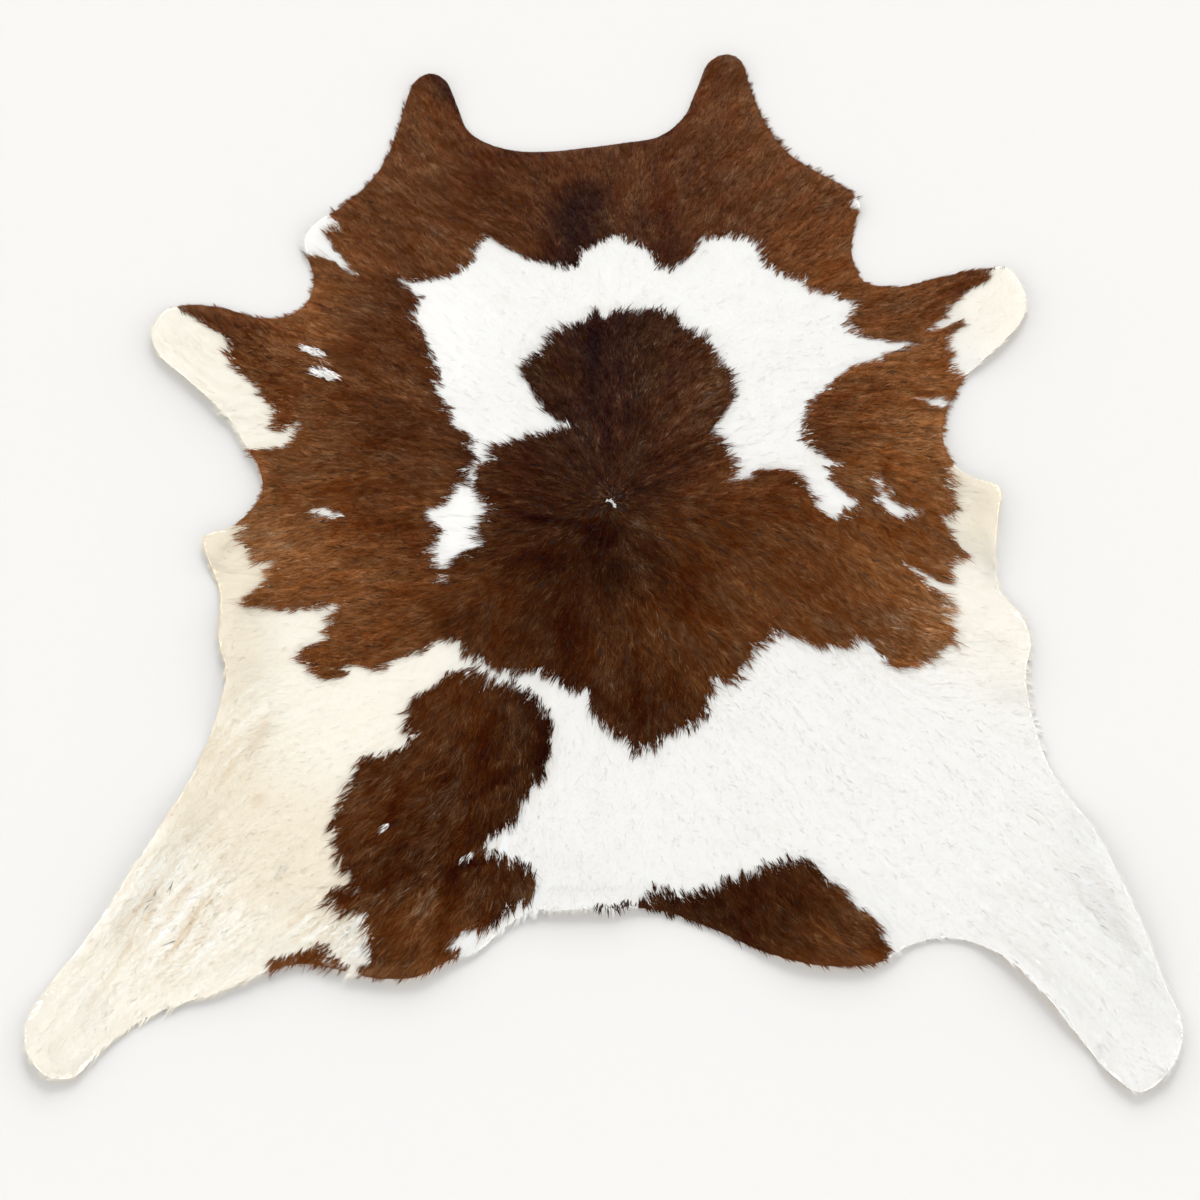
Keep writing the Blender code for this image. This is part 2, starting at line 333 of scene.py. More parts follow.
# %% Brown and white patches
# Each patch: its name, whether it is brown, and its outline in centimetres.
PATCHES = (
    ("brown front", True, (
        (120, 9), (69.5, 9), (68.9, 8), (69.3, -1.7), (68.3, -3.3), (66.3, -3.2), (69.9, -11.3),
        (66.7, -15.7), (67.3, -17.7), (65.3, -18), (62, -15.7), (57.7, -13.9), (61.7, -17.3),
        (62.7, -19), (64.7, -20), (67, -23.3), (65.7, -25), (66.7, -31.3), (63, -33.3),
        (63.3, -34.3), (56.7, -36.8), (54.7, -36.3), (49.3, -30.1), (47.7, -30.3), (47.7, -32),
        (46, -32.1), (41, -32), (34, -29.2), (31.7, -29.8), (29, -32.3), (25.3, -38.3), (25, -40),
        (20, -39.3), (20.7, -42.3), (19.3, -43.3), (19.7, -45.7), (17.7, -47), (17, -48.7),
        (12.7, -50), (9.7, -52.7), (5.7, -54.1), (3.3, -51), (2, -51.3), (0.3, -50), (-3, -44.3),
        (-2.7, -43), (-3.5, -41), (-7.7, -41.2), (-10, -38), (-21, -37), (-24.7, -34.1),
        (-27, -33.7), (-28, -30.7), (-30, -30.1), (-32, -30.5), (-35.3, -33.4), (-40.3, -35.3),
        (-43.7, -37.5), (-45.7, -35.7), (-48, -35.7), (-49.3, -36.7), (-48.5, -37.3),
        (-49.3, -38.3), (-53.3, -39.3), (-58.3, -33.5), (-56, -31.7), (-52.3, -30.5),
        (-53.7, -29.3), (-52.7, -27.7), (-53, -26.3), (-50.3, -22.3), (-55, -22.8),
        (-55.7, -23.7), (-57.3, -24), (-63.3, -24.1), (-69.7, -23.2), (-63.7, -14), (-64, -12.8),
        (-67.7, -13.7), (-68.7, -12.7), (-71.7, -8), (-71, -5.2), (-120, -5.2), (-120, 130),
        (120, 130),
    )),
    ("white ring", False, (
        (-43.5, 55.5), (-41, 54.8), (-33, 56), (-31, 57), (-28, 61), (-25.5, 67), (-16, 60.5),
        (-8, 58.5), (-6, 59.5), (-5, 62.5), (-3.5, 64), (1.5, 66.5), (4, 66.5), (9, 64),
        (10, 60.5), (12, 59), (14.5, 58.5), (19, 62), (20, 66), (22, 66.8), (28, 67.2),
        (31, 66.5), (33, 65), (32.5, 63), (33, 61), (35, 59), (44, 53), (50, 50), (53, 50),
        (50.5, 44), (54, 40), (63, 39), (64.5, 38.3), (58.5, 36.5), (57, 35), (57, 33.9),
        (54, 34), (51, 33), (42, 24), (41, 22), (40, 17.5), (40.5, 15), (44, 11), (47.5, 10),
        (44.3, 7.7), (46.7, 3.3), (49.7, 1), (50, -0.7), (45, -3.9), (41.7, -1.3), (41.7, 0.7),
        (38.7, 6.3), (36.7, 7.7), (30, 7.7), (29, 5.5), (24.3, 4.8), (26.3, 7), (26, 9.5),
        (24.3, 13.5), (21.5, 17.3), (26.5, 25.5), (26.7, 31), (26, 32.5), (23.5, 33.5),
        (23.5, 36), (22, 37), (20.5, 40.5), (17, 42), (15, 45.5), (13, 46.5), (12, 48),
        (5.5, 46.2), (4, 47.5), (2.5, 47.5), (0, 45), (-2.2, 47.5), (-4, 44.5), (-10, 42),
        (-11.5, 40.5), (-14, 36), (-17.5, 32.5), (-13.5, 24.5), (-10.3, 19.8), (-9.3, 19),
        (-8.5, 19.5), (-7, 18), (-22.5, 13.5), (-23.2, 12), (-23, 10.3), (-26, 7.5), (-26.1, 4.1),
        (-28, 4.3), (-28, 7), (-26, 10.5), (-28, 13.5), (-26.5, 14.5), (-28, 16.5), (-31, 18.5),
        (-31.5, 22), (-35, 28.5), (-33.5, 30), (-39.8, 46), (-39, 50.5), (-42, 53.5),
    )),
    ("white notch", False, (
        (-29.3, 4.3), (-26.1, 4.1), (-23.7, -0.7), (-22, -2), (-23.7, -2.3), (-25, -5.3),
        (-24.3, -10.1), (-27.7, -11.3), (-31.7, -15.7), (-34, -13.3), (-34.7, -11.7), (-33, -8),
        (-33, -6.3), (-36, -2), (-33.7, -0.5), (-31.3, -0.3), (-30.3, 3.3),
    )),
    ("nick below the notch", False, ((-32.3, -17), (-31.3, -16.2), (-30.2, -16.5), (-31.5, -18.3))),
    ("left foreleg", False, (
        (-120, 48.3), (-88.5, 48.3), (-86.5, 46), (-80, 41.5), (-77, 38.5), (-78.5, 36.5),
        (-73.5, 29.5), (-71, 28.5), (-70.5, 26.5), (-67.5, 23), (-67, 20.5), (-67.5, 18),
        (-66.5, 16.8), (-64.5, 17.3), (-63.5, 19), (-62, 19), (-61.5, 18), (-64, 13), (-71, 12.3),
        (-120, 12.3),
    )),
    ("right foreleg", False, (
        (120, 59), (83, 59), (80.5, 57), (81, 55.5), (74.5, 51), (72, 47), (67.5, 42), (70, 42.5),
        (75, 45), (70.5, 39), (72, 31.5), (74, 29.8), (120, 29.8),
    )),
    ("right foreleg nick", False, (
        (63.5, 25), (66, 25), (69.5, 25), (70.3, 24.5), (69.5, 22.5), (68, 22.3), (64, 24.5),
    )),
    ("right hook", False, (
        (53.3, 7), (55, 7.3), (56.7, 1), (58, -0.3), (62.7, -1.2), (63.3, -2), (60, -4),
        (55.7, -2.7), (54, 0.7), (54.7, 2), (53.3, 5.3),
    )),
    ("left cheek streak", False, (
        (-58.5, 72.5), (-57, 70), (-58.5, 68.5), (-60, 67.5), (-57, 63), (-54, 59), (-52.5, 57),
        (-53.5, 56.3), (-57.5, 60), (-62.5, 61.8), (-75, 62), (-75, 75),
    )),
    ("right cheek tuft", False, ((52.8, 75), (53.5, 77), (57, 77), (57, 73.5), (54, 73.5))),
    ("left side fleck", False, (
        (-58.1, -2), (-57, -1.3), (-55.7, -1), (-54.3, -1.2), (-51.9, -3), (-54.7, -4.2), (-57, -3),
    )),
    ("left thigh patch", True, (
        (-26, -37.3), (-24.7, -38.3), (-22.3, -38.7), (-23, -40), (-16.3, -41.2), (-13, -43.3),
        (-10.3, -47.3), (-10, -50), (-10, -52.7), (-11.7, -59.3), (-15.3, -63.3), (-16, -67.7),
        (-20.3, -70.7), (-22.3, -73.7), (-14, -77), (-12.3, -80.7), (-14, -84), (-17.7, -85.7),
        (-20.3, -89), (-24, -88.5), (-27, -90.3), (-27.3, -91.7), (-26, -93.8), (-26, -105),
        (-43.7, -105), (-43.7, -97.3), (-41.3, -94.7), (-43.3, -86.3), (-44, -84.7),
        (-45.7, -86.7), (-49, -84.7), (-49.9, -82.8), (-48.7, -80.8), (-44, -82), (-48.7, -74.3),
        (-49.7, -67.7), (-46.7, -61.3), (-47.3, -60), (-45.7, -57.7), (-46.3, -56.3),
        (-44.7, -55.3), (-39.3, -54.3), (-36, -52.5), (-37.3, -48.3), (-36.2, -42.8),
        (-31.3, -40), (-30, -38.3), (-28, -37.7),
    )),
    ("rim strip, left hind leg", True, (
        (-59.5, -105), (-59, -94.3), (-54.7, -93.7), (-50.7, -92.2), (-49.3, -92.8), (-49, -94.3),
        (-45.7, -96.3), (-45.7, -105),
    )),
    ("right buttock patch", True, (
        (5.7, -84), (6.3, -82.8), (8.7, -82), (8.7, -80), (9.7, -82), (17.7, -82.7),
        (17.3, -80.7), (20, -81.7), (21.3, -80), (27.7, -78), (29.3, -76.8), (37, -75.7),
        (40.3, -80), (42.3, -80.8), (44.3, -84), (47.7, -86.7), (49, -88.7), (49.9, -92.7),
        (49.7, -105), (5.7, -105),
    )),
)


def chart_patches():
    """A chart that is 1 where the coat is brown and 0 where it is white."""
    brown = np.zeros(hide_chart.shape, bool)
    for _, is_brown, outline in PATCHES:
        brown[filled(placed(outline))] = is_brown
    return brown


brown_chart = chart_patches()
brown_share = brown_chart.astype(float)     # the same chart as numbers, so it can be blended
print(f"{(brown_chart & hide_chart).sum() / hide_chart.sum():.0%} of the hide is brown")

# %% [markdown]
# ## The way the hair grows
#
# Cow hair grows in streams. On this hide it parts at a whorl in the middle of the back.
# In front of it the hair runs forward, towards the neck, and behind it the hair runs back
# and down each leg. These streams give the coat its sheen and its grain, so they are laid
# down like iron filings: an arrow here and there, each with a heading in degrees from +X.
# Every place between them takes the mean of the arrows around it.

# %% Arrows along the coat
# Each arrow: x and y in centimetres, and the heading from root to tip in degrees.
ARROWS = {
    "neck": (
        (-5, 85, 100), (-25, 75, 150), (-40, 100, 118), (-42, 90, 118), (-50, 75, 140),
        (25, 85, 57), (30, 100, 60), (40, 75, 50), (50, 78, 47), (45, 60, 38), (0, 65, 97),
        (25, 67, 67), (-35, 56, 125), (-20, 88, 128), (12, 85, 75),
    ),
    "left side": (
        (-50, 45, 153), (-62, 36, 165), (-57, 31, 145), (-80, 40, 130), (-92, 44, 127),
        (-85, 35, 138), (-70, 27, 165), (-65, 22, 170), (-72, 15, 195), (-68, 5, 183),
        (-55, -2, 180), (-45, 5, 175), (-62, -12, 197), (-65, -20, 198), (-45, -25, 192),
        (-52, -33, 188), (-32, -5, 180), (-30, 48, 143),
    ),
    "back": (
        (-15, 35, 150), (-12, 41, 125), (-3, 47, 100), (0, 30, 92), (10, 45, 67), (18, 42, 50),
        (24, 30, 25), (15, 5, 17), (20, 10, 25), (0, -10, 270), (-15, -10, 205),
        (-8, 10, 128), (-16, 2, 176), (-20, 12, 155), (-4, 20, 104), (8, 18, 68), (13, -7, -38),
        (-10, -25, 245), (10, -20, 303), (20, -25, 310), (5, -53, 275), (-3, -45, 250),
    ),
    "right side": (
        (60, 48, 12), (70, 55, 25), (75, 45, 38), (82, 50, 50), (85, 55, 53), (65, 38, 12),
        (60, 30, 5), (60, 20, -3), (30, -20, -40), (40, -20, -52), (50, -10, -40),
        (60, -12, -30), (70, -20, -20), (78, -30, -3), (75, -10, -60), (76, 0, -20),
    ),
    "hind quarters": (
        (-60, -50, 195), (-72, -50, 252), (-45, -60, 210), (-40, -65, 230), (-20, -45, 255),
        (-15, -60, 267), (-30, -85, 235), (-60, -84, 212), (-60, -95, 234), (-69, -99, 232),
        (-79, -104, 230), (-70, -80, 225), (-70, -95, 215), (-80, -85, 245), (-90, -100, 237),
        (-95, -110, 235), (-10, -80, 265), (0, -75, 269),
        (10, -70, 285), (20, -82, 300), (20, -65, 303), (30, -60, 310), (50, -60, 315),
        (60, -85, 315), (42, -88, 315), (70, -70, 317), (80, -85, 315), (85, -95, 310),
        (90, -108, 306),
    ),
}
ARROW_REACH = 8.0 * CM
WHORL = placed((1.3, 0.2))
WHORL_REACH = 7.0 * CM


def chart_headings():
    """A coarse chart of unit vectors along the hair."""
    xs, ys = chart_lines(COARSE)
    places = np.stack(np.meshgrid(xs, ys), axis=-1)
    total = np.zeros_like(places)
    for x, y, degrees in (arrow for group in ARROWS.values() for arrow in group):
        gap = np.linalg.norm(places - placed((x, y)), axis=2, keepdims=True) / ARROW_REACH
        turn = math.radians(degrees)
        total += (np.exp(-0.5 * gap**2) + 1e-9 / (1 + gap**4)) * (math.cos(turn), math.sin(turn))
    total /= np.linalg.norm(total, axis=2, keepdims=True) + 1e-12
    from_whorl = places - WHORL
    gap = np.linalg.norm(from_whorl, axis=2, keepdims=True) + 1e-9
    share = np.exp(-0.5 * (gap / WHORL_REACH) ** 2)
    return total * (1 - share) + from_whorl / gap * share


heading_chart = chart_headings()
print("headings from", sum(len(group) for group in ARROWS.values()), "arrows")

# %% [markdown]
# ## Tones
#
# No brown patch is one brown. It is nearly black along the spine, chestnut on the neck,
# and fox red towards the belly, where the sun and rubbing have bleached it. The white is
# bright on the back and cream on the legs and belly. A painter would mix a few shades and
# lay each where it belongs, and that is done here: eight browns and four whites, in broad
# soft pools, which blend into their neighbours as they do on the animal.

# %% The shades
# Red, green and blue levels from 0 to 255, from the darkest to the lightest.
BROWNS = {
    "seal": (42, 22, 14), "umber": (54, 30, 19), "walnut": (66, 38, 23),
    "chestnut": (79, 46, 27), "bay": (92, 56, 33), "russet": (106, 66, 39),
    "fox": (120, 77, 47), "sand": (136, 94, 62),
}
WHITES = {
    "cream": (241, 231, 210), "ivory": (250, 245, 232), "chalk": (243, 243, 241),
    "snow": (252, 252, 250),
}
print(len(BROWNS), "browns and", len(WHITES), "whites")

# %% Where each shade lies
# Each pool: x, y and reach in centimetres.
BROWN_POOLS = {
    "seal": ((-4, 73, 3.5), (0, 37, 8), (-2, 18, 7)),
    "umber": ((-34, 108, 3), (-10, 33, 5), (12, 38, 5), (-9, 7, 6), (6, 10, 6), (-8, -8, 6),
              (3, -14, 5), (-13, -48, 5), (-14, -62, 5), (17, -85, 5)),
    "walnut": ((10, 68, 5), (20, 29, 5), (16, 16, 5), (-19, 7, 4), (-21, -10, 5),
               (-8, -28, 6), (6, -45, 6), (-22, -60, 5), (-36, -77, 5), (-20, -82, 5),
               (33, -81, 6)),
    "chestnut": ((-25, 82, 7), (16, 80, 7), (26, 71, 5), (-44, 46, 6), (-43, 22, 6),
                 (20, -6, 5), (9, -29, 5), (-25, -24, 5), (-29, -46, 6), (-44, -66, 7)),
    "bay": ((-41, 98, 7), (-46, 74, 8), (-38, 64, 5), (28, 106, 6), (42, 80, 8),
            (-75, 42, 5), (-55, 28, 7), (-43, 0, 6), (30, 2, 6), (45, 18, 5),
            (71, 54, 5), (21, -33, 5), (34, -12, 6), (-40, -92, 5), (43, -90, 5)),
    "russet": ((53, 62, 6), (-57, 58, 6), (61, 47, 6), (51, 28, 6), (-66, 23, 6),
               (-57, 6, 6), (-42, -23, 6), (-54, -35, 6), (50, -4, 6), (46, -24, 7),
               (-29, -89, 4), (-55, -95, 4)),
    "fox": ((-62, 46, 5), (-67, 6, 5), (-56, -17, 6), (66, 32, 6), (60, 12, 6),
            (58, -17, 7)),
    "sand": ((-66, -13, 5), (68, 12, 4), (65, -26, 5)),
}
WHITE_POOLS = {
    "cream": ((-75, -10, 6), (76, 0, 6), (-72, -58, 7), (-56, -72, 7), (-74, -36, 5)),
    "ivory": ((-82, 36, 10), (-50, -46, 10), (-88, -96, 14), (84, 49, 8), (76, -28, 9)),
    "chalk": ((0, 58, 20), (40, 44, 18), (50, -60, 22), (0, -68, 16), (88, -102, 14)),
    "snow": ((-32, 0, 8), (-38, 44, 8), (-62, 66, 5), (-58, 34, 5), (57, 0, 6)),
}


def to_linear(levels):
    """Colour levels from 0 to 255 as the linear amounts that a shader works in."""
    share = np.asarray(levels, float) / 255
    return np.where(share <= 0.04045, share / 12.92, ((share + 0.055) / 1.055) ** 2.4)


def chart_tones(shades, pools):
    """A coarse chart of linear colours."""
    xs, ys = chart_lines(COARSE)
    places = np.stack(np.meshgrid(xs, ys), axis=-1)
    total, weight = 0.0, 0.0
    for shade, group in pools.items():
        for x, y, reach in group:
            gap = np.linalg.norm(places - placed((x, y)), axis=2, keepdims=True)
            gap = gap / (reach * CM)
            share = np.exp(-0.5 * gap**2) + 1e-6 / (1 + gap**4)
            total, weight = total + share * to_linear(shades[shade]), weight + share
    return total / weight


brown_tone_chart = chart_tones(BROWNS, BROWN_POOLS)
white_tone_chart = chart_tones(WHITES, WHITE_POOLS)
print(sum(len(group) for group in BROWN_POOLS.values()), "brown pools,",
      sum(len(group) for group in WHITE_POOLS.values()), "white pools")

# %% [markdown]
# The coat is also broken up by its own folds. Where brown hair parts, the shade in the furrow
# is painted into the hair as a dark stroke, and where a tuft turns towards the light a pale
# bloom of painted sheen is laid on it. In ruffled white hair the furrow's painted shade is
# only a faint tan crease. They are drawn as soft strokes, each with its own direction, as a
# painter would lay them in.

# %% Painted shade and sheen: furrows, blooms and creases
# Each stroke: x and y, half its length and half its width in centimetres, its direction in
# degrees, and how much darker (below 0, painted shade) or lighter (painted sheen) the hair is
# there.
STROKES = (
    # neck and cheeks
    (-32.6, 104, 8, 1.6, 112, -1.0), (-37.5, 111, 3.5, 1.2, 10, -0.6), (-26, 82, 5, 2.4, 110, -0.5),
    (-19, 89, 9, 1.2, 3, -0.35), (-6, 71, 8, 2.8, 92, -0.45), (-12, 63, 4, 2, 120, -0.3),
    (13, 71, 11, 2.6, 92, -0.45), (17, 84, 5, 0.7, 12, -0.4), (15, 88.5, 4, 0.6, 15, -0.3),
    (21.5, 106, 8, 1.2, 66, -0.5), (24, 115, 3, 1.2, 50, -0.6), (-40, 90, 8, 3.5, 112, 0.15),
    (28, 82, 6, 3, 40, 0.15), (46, 78, 7, 2, 140, 0.2), (22, 73, 3.5, 1.2, 48, 0.3),
    (6, 75, 5, 2.5, 95, 0.2), (-28, 76, 6, 1.2, 150, 0.2),
    # middle of the back
    (-2, 40, 8, 1.8, 88, -0.5), (1, 23, 3, 1.2, 85, -0.4), (0.5, 15, 4, 1.2, 95, -0.6),
    (-2.5, 28, 6, 1.5, 90, -0.3), (13.5, 32, 7, 0.8, 85, -0.25), (3.3, 34, 12, 0.6, 91, -0.3),
    (8, 30, 8, 3, 90, 0.2), (22, 28, 5, 3, 70, 0.3), (-9, 18, 4, 2.5, 30, 0.2),
    (-3, 34, 7, 1.8, 84, -0.35), (15, 27, 4, 0.8, 40, -0.3), (9, 18, 5, 1, 150, -0.25),
    (-11, -4, 7.5, 0.9, 172, -0.6), (-15, -3.3, 2.5, 1.1, 165, -0.4), (-1, -8, 4, 3.2, 80, -0.5),
    (2.3, -7, 3.5, 1, 60, -0.4), (7, -5, 5.5, 2.2, 146, 0.4), (6, -15, 6, 3, 80, 0.3),
    (-22.5, -6, 3.5, 2.5, 90, 0.3),
    # behind the whorl
    (-6.5, -29, 7, 2.6, 92, -0.5), (17.5, -15, 4, 2.3, 80, -0.4), (16, -23, 4, 1.8, 80, -0.35),
    (-11, -13, 4, 2.3, 150, -0.4), (-17, -13, 3, 1.5, 20, -0.3), (11, -22, 3, 2, 90, -0.3),
    (6.5, -44, 6, 1.3, 97, -0.5), (12.5, -39.5, 3, 1.6, 60, -0.35), (3, -28, 5, 1.4, 88, 0.2),
    (-20, -19, 4, 1, 160, -0.35), (-16, -24, 3, 1.2, 170, -0.25), (11, -29, 3.5, 3, 80, 0.25),
    (-11.5, -31, 4, 2.2, 80, 0.3),
    (0, -37, 6, 1.8, 95, 0.3), (13, -46, 3, 2, 60, 0.2),
    # left side
    (-51, 37, 7, 3, 105, -0.3), (-76, 43.5, 6, 1.4, 168, -0.4), (-68, 30, 7, 1.4, 128, -0.35),
    (-64.5, 19.5, 2.5, 1.6, 100, -0.4), (-45, 14, 7, 1, 175, -0.25), (-50, 3, 10, 1.4, 178, -0.3),
    (-45, -5, 6, 2.5, 170, -0.3), (-37.5, -9, 5, 1.4, 105, -0.35), (-33, -24, 5, 1.4, 150, -0.35),
    (-38, -21, 4, 1, 170, -0.3), (-30, -28, 3, 1.5, 140, -0.3), (-44, -31, 4, 1.2, 165, -0.25),
    (-62, 47, 5, 3, 150, 0.2), (-61, 22, 5, 3, 20, 0.2), (-47, -16, 6, 2.5, 170, 0.15),
    (-46, -24, 5, 2, 175, 0.15), (-66, -7, 4, 3, 100, 0.15),
    # right side
    (43.5, 16, 7, 2, 80, -0.4), (36, -3.5, 8, 1, 175, -0.3), (35, 4, 5, 3, 90, -0.25),
    (25, -9, 4, 3, 90, -0.35), (56, 8, 3, 1.2, 90, -0.3), (73, 52, 6, 1.5, 35, -0.4),
    (67, 45, 4, 1, 30, -0.3), (63, -15, 5, 0.8, 150, -0.4), (62, 14, 7, 3.5, 95, 0.15),
    (64, 34, 5, 2, 20, 0.15), (63, -25, 6, 3, 130, 0.15), (45, -10, 10, 3, 170, 0.12),
    # left thigh
    (-22.5, -52, 6.5, 1.5, 92, -0.5), (-11.7, -51, 9, 1.7, 96, -0.5),
    (-16.5, -49, 8, 1.8, 96, 0.35), (-29, -53, 5, 3, 110, 0.2),
    (-21.5, -61.5, 4, 0.9, 35, -0.5), (-22, -65, 6, 2.2, 20, 0.2),
    (-38, -64.5, 4.5, 1.4, 80, -0.55), (-36.5, -71.5, 4, 1, 72, -0.4), (-45, -66, 4, 2.8, 100, 0.2),
    (-27.5, -81, 9, 1.6, 82, -0.6), (-24, -76.3, 3.5, 1, 12, -0.7), (-38, -79, 5, 1.2, 30, -0.35),
    (-38, -89.5, 2.5, 1.8, 30, -0.3), (-23, -83, 4, 2.5, 90, 0.2), (-19, -87, 4, 1.2, 40, -0.4),
    (-13.8, -82, 2.5, 2.5, 0, 0.3), (-35, -84, 5, 4, 90, 0.15), (-17, -58, 3, 1, 20, -0.4),
    # right buttock
    (26.5, -83, 3.5, 1.8, 60, -0.5), (34, -84.5, 3.5, 0.7, 130, -0.4), (22, -85, 4, 1.2, 140, -0.2),
    (45, -88, 5, 3, 120, 0.2),
    # painted shade in the creases of the white of the left hind leg
    (-74, -88, 6.5, 0.5, 62, -1.0), (-64, -50, 4, 1, 65, -0.6), (-69.5, -58.5, 3.5, 0.6, 65, -0.6),
    (-85, -93.5, 5.5, 0.45, 62, -0.6), (-72, -91, 3, 0.4, 45, -0.6),
    (-63.5, -63.7, 1.3, 1.2, 0, -0.5), (-81, -86, 4, 0.5, 80, -0.7), (-68, -83, 3, 0.5, 50, -0.5),
    (-88, -100, 5, 0.4, 55, -0.4), (-78, -97, 5, 0.5, 48, -0.4), (-66, -93, 5, 0.5, 35, -0.4),
    (-60, -80, 4, 0.4, 30, -0.3),
)
STROKE_DEPTH = 1.7       # every strength is multiplied by this
STROKE_REACH = 2.2       # a stroke is felt out to this many times half its length


def painted_shade_and_sheen(at):
    """How much the strokes' painted shade and painted sheen darken or lighten the hair at these
    places.
    """
    swing = np.zeros(len(at))
    for x, y, long, wide, degrees, strength in STROKES:
        gap = (at - placed((x, y))) / CM
        near = np.nonzero(np.abs(gap).max(axis=1) < STROKE_REACH * long)[0]
        turn = math.radians(degrees)
        gap, along = gap[near], np.array([math.cos(turn), math.sin(turn)])
        across = gap[:, 0] * along[1] - gap[:, 1] * along[0]
        fade = np.exp(-((gap @ along / long) ** 2) - (across / wide) ** 2)
        swing[near] += STROKE_DEPTH * strength * fade
    return swing


print(len(STROKES), "strokes")

# %% [markdown]
# Small things break up the patches: grey tufts on the left leg, a tan line of painted shade
# along one crease, dark specks by the rim, white flecks on the shoulder and a pale haze around
# the whorl. They are too small for outlines. Each one is a patch that lies along the hair
# there, in which some of the hairs take another colour. A faint patch recolours only the thin
# hairs.

# %% Tufts and specks
# Red, green and blue levels from 0 to 255.
MARK_SHADES = {
    "slate": (135, 132, 132), "smoke": (160, 158, 158), "silver": (212, 212, 212),
    # The pale tan below is painted shade, for a crease in the white hair.
    "crease_shade": (210, 190, 155), "taupe": (168, 158, 145), "peat": (94, 80, 70),
    "soot": (66, 48, 42), "white": (255, 254, 252), "rose": (190, 152, 134),
    "dust": (105, 80, 62), "honey": (92, 68, 38), "fawn": (155, 108, 68),
}
# Each mark: x, y, half length along the hair and half width in centimetres, the share of
# hairs that it recolours, and its shade.
FAINT = 0.35
MARKS = (
    # grey tufts and dark specks on the hind legs, and the painted shade of one crease
    (-80.7, -83.3, 2.2, 0.8, 0.34, "slate"), (-77.3, -80.8, 1.2, 0.6, 0.34, "smoke"),
    (-77.6, -92, 1.6, 0.6, 0.34, "slate"), (-83.5, -91, 1.4, 0.5, 0.3, "silver"),
    (-58, -77, 1.8, 0.9, 0.3, "smoke"), (-45.5, -88, 2.2, 1.2, 0.34, "smoke"),
    (-80.6, -83.8, 1.7, 0.6, 0.35, "silver"), (-77.6, -92.5, 1.3, 0.45, 0.35, "silver"),
    (-45.8, -88.5, 2.6, 1.6, 0.35, "silver"), (-58.5, -77.5, 1.8, 0.9, 0.35, "silver"),
    # a tan line of painted shade along a crease in the white hair
    (-71, -84.5, 4, 0.7, 0.34, "crease_shade"), (84.7, -78.7, 1.0, 0.5, 0.34, "taupe"),
    (88.7, -88.7, 1.0, 0.5, 0.3, "taupe"), (73.3, -55.7, 1.0, 0.5, 0.3, "taupe"),
    (-65, -99.3, 1.2, 0.6, 0.34, "peat"), (-71, -101.4, 1.2, 0.6, 0.34, "peat"),
    (-77, -103.4, 1.4, 0.6, 0.34, "peat"),
    # dark hair showing between the white tufts at the tail head
    (1.3, -85.3, 1.0, 4.2, 0.5, "soot"), (3.5, -84.8, 1.1, 2.0, 0.6, "soot"),
    # white flecks on the left shoulder, with a pink haze between them
    (-60.4, 36.8, 3.0, 0.95, 1.3, "white"), (-57.4, 31.0, 3.5, 1.4, 1.5, "white"),
    (-58.2, 33.9, 2.6, 1.2, 0.34, "rose"),
    # pale rays and a golden haze around the whorl
    (1.3, 0.6, 5.0, 5.0, 0.3, "dust"), (1.5, -2.2, 2.4, 1.9, 0.32, "honey"),
    # white flecks in the left thigh patch
    (-40.2, -69.3, 1.3, 0.5, 1.1, "white"), (-25.6, -75.4, 0.8, 0.5, 1.1, "white"),
    (-24.3, -74.9, 0.8, 0.6, 1.1, "white"),
    # pale strands beside the left foreleg
    (-67, 38, 11, 7, 0.1, "fawn"), (-64, 20, 7, 9, 0.07, "fawn"),
)
print(len(MARKS), "tufts and specks")


def coat_colour(brown, at):
    """The linear colour of hair at these places, given which of it is brown."""
    brown_tone, white_tone = (read(c, COARSE, at) for c in (brown_tone_chart, white_tone_chart))
    return np.where(brown[:, None], brown_tone, white_tone)


def add_marks(colour, at, is_thin, luck):
    """Recolours some of the hairs inside each mark, and tells which. Luck is a number from
    0 to 1 for each hair."""
    marked = np.zeros(len(at), bool)
    for x, y, long, wide, chance, shade in MARKS:
        middle = placed((x, y))
        along = read(heading_chart, COARSE, middle[None])[0]
        along = along / np.linalg.norm(along)
        gap = (at - middle) / CM
        across = gap[:, 0] * along[1] - gap[:, 1] * along[0]
        inside = np.hypot(gap @ along / long, across / wide)
        chosen = (luck < chance * (1.1 - inside**2)) & (is_thin | (chance > FAINT))
        colour[chosen] = to_linear(MARK_SHADES[shade])
        marked |= chosen
    return marked

# %% [markdown]
# ## Materials from Python expressions
#
# Blender's materials are graphs of nodes. Typing `a * b + 1` is easier to read than
# wiring two Math nodes, so a small class wraps a socket and adds the nodes for us. Numbers
# go through Math nodes. Colours go through Mix nodes, because a Math node would turn them
# grey. Every other kind of node comes from one method.

# %% A socket that does arithmetic
class Socket:
    """A node's output, on which +, -, * and ** add Math nodes."""

    def __init__(self, tree, socket):
        self.tree = tree
        self.socket = socket

    def join(self, operation, first, second):
        inputs = {0: first, 1: second}
        node = add_node(self.tree, "ShaderNodeMath", {"operation": operation}, inputs)
        return Socket(self.tree, node.outputs[0])

    def math(self, operation, other):
        """Any other Math node on this socket and a second value."""
        return self.join(operation, self, other)

    def __add__(self, other):
        return self.join("ADD", self, other)

    def __sub__(self, other):
        return self.join("SUBTRACT", self, other)

    def __rsub__(self, other):
        return self.join("SUBTRACT", other, self)

    def __mul__(self, other):
        return self.join("MULTIPLY", self, other)

    def __pow__(self, other):
        return self.join("POWER", self, other)

    __radd__, __rmul__ = __add__, __mul__


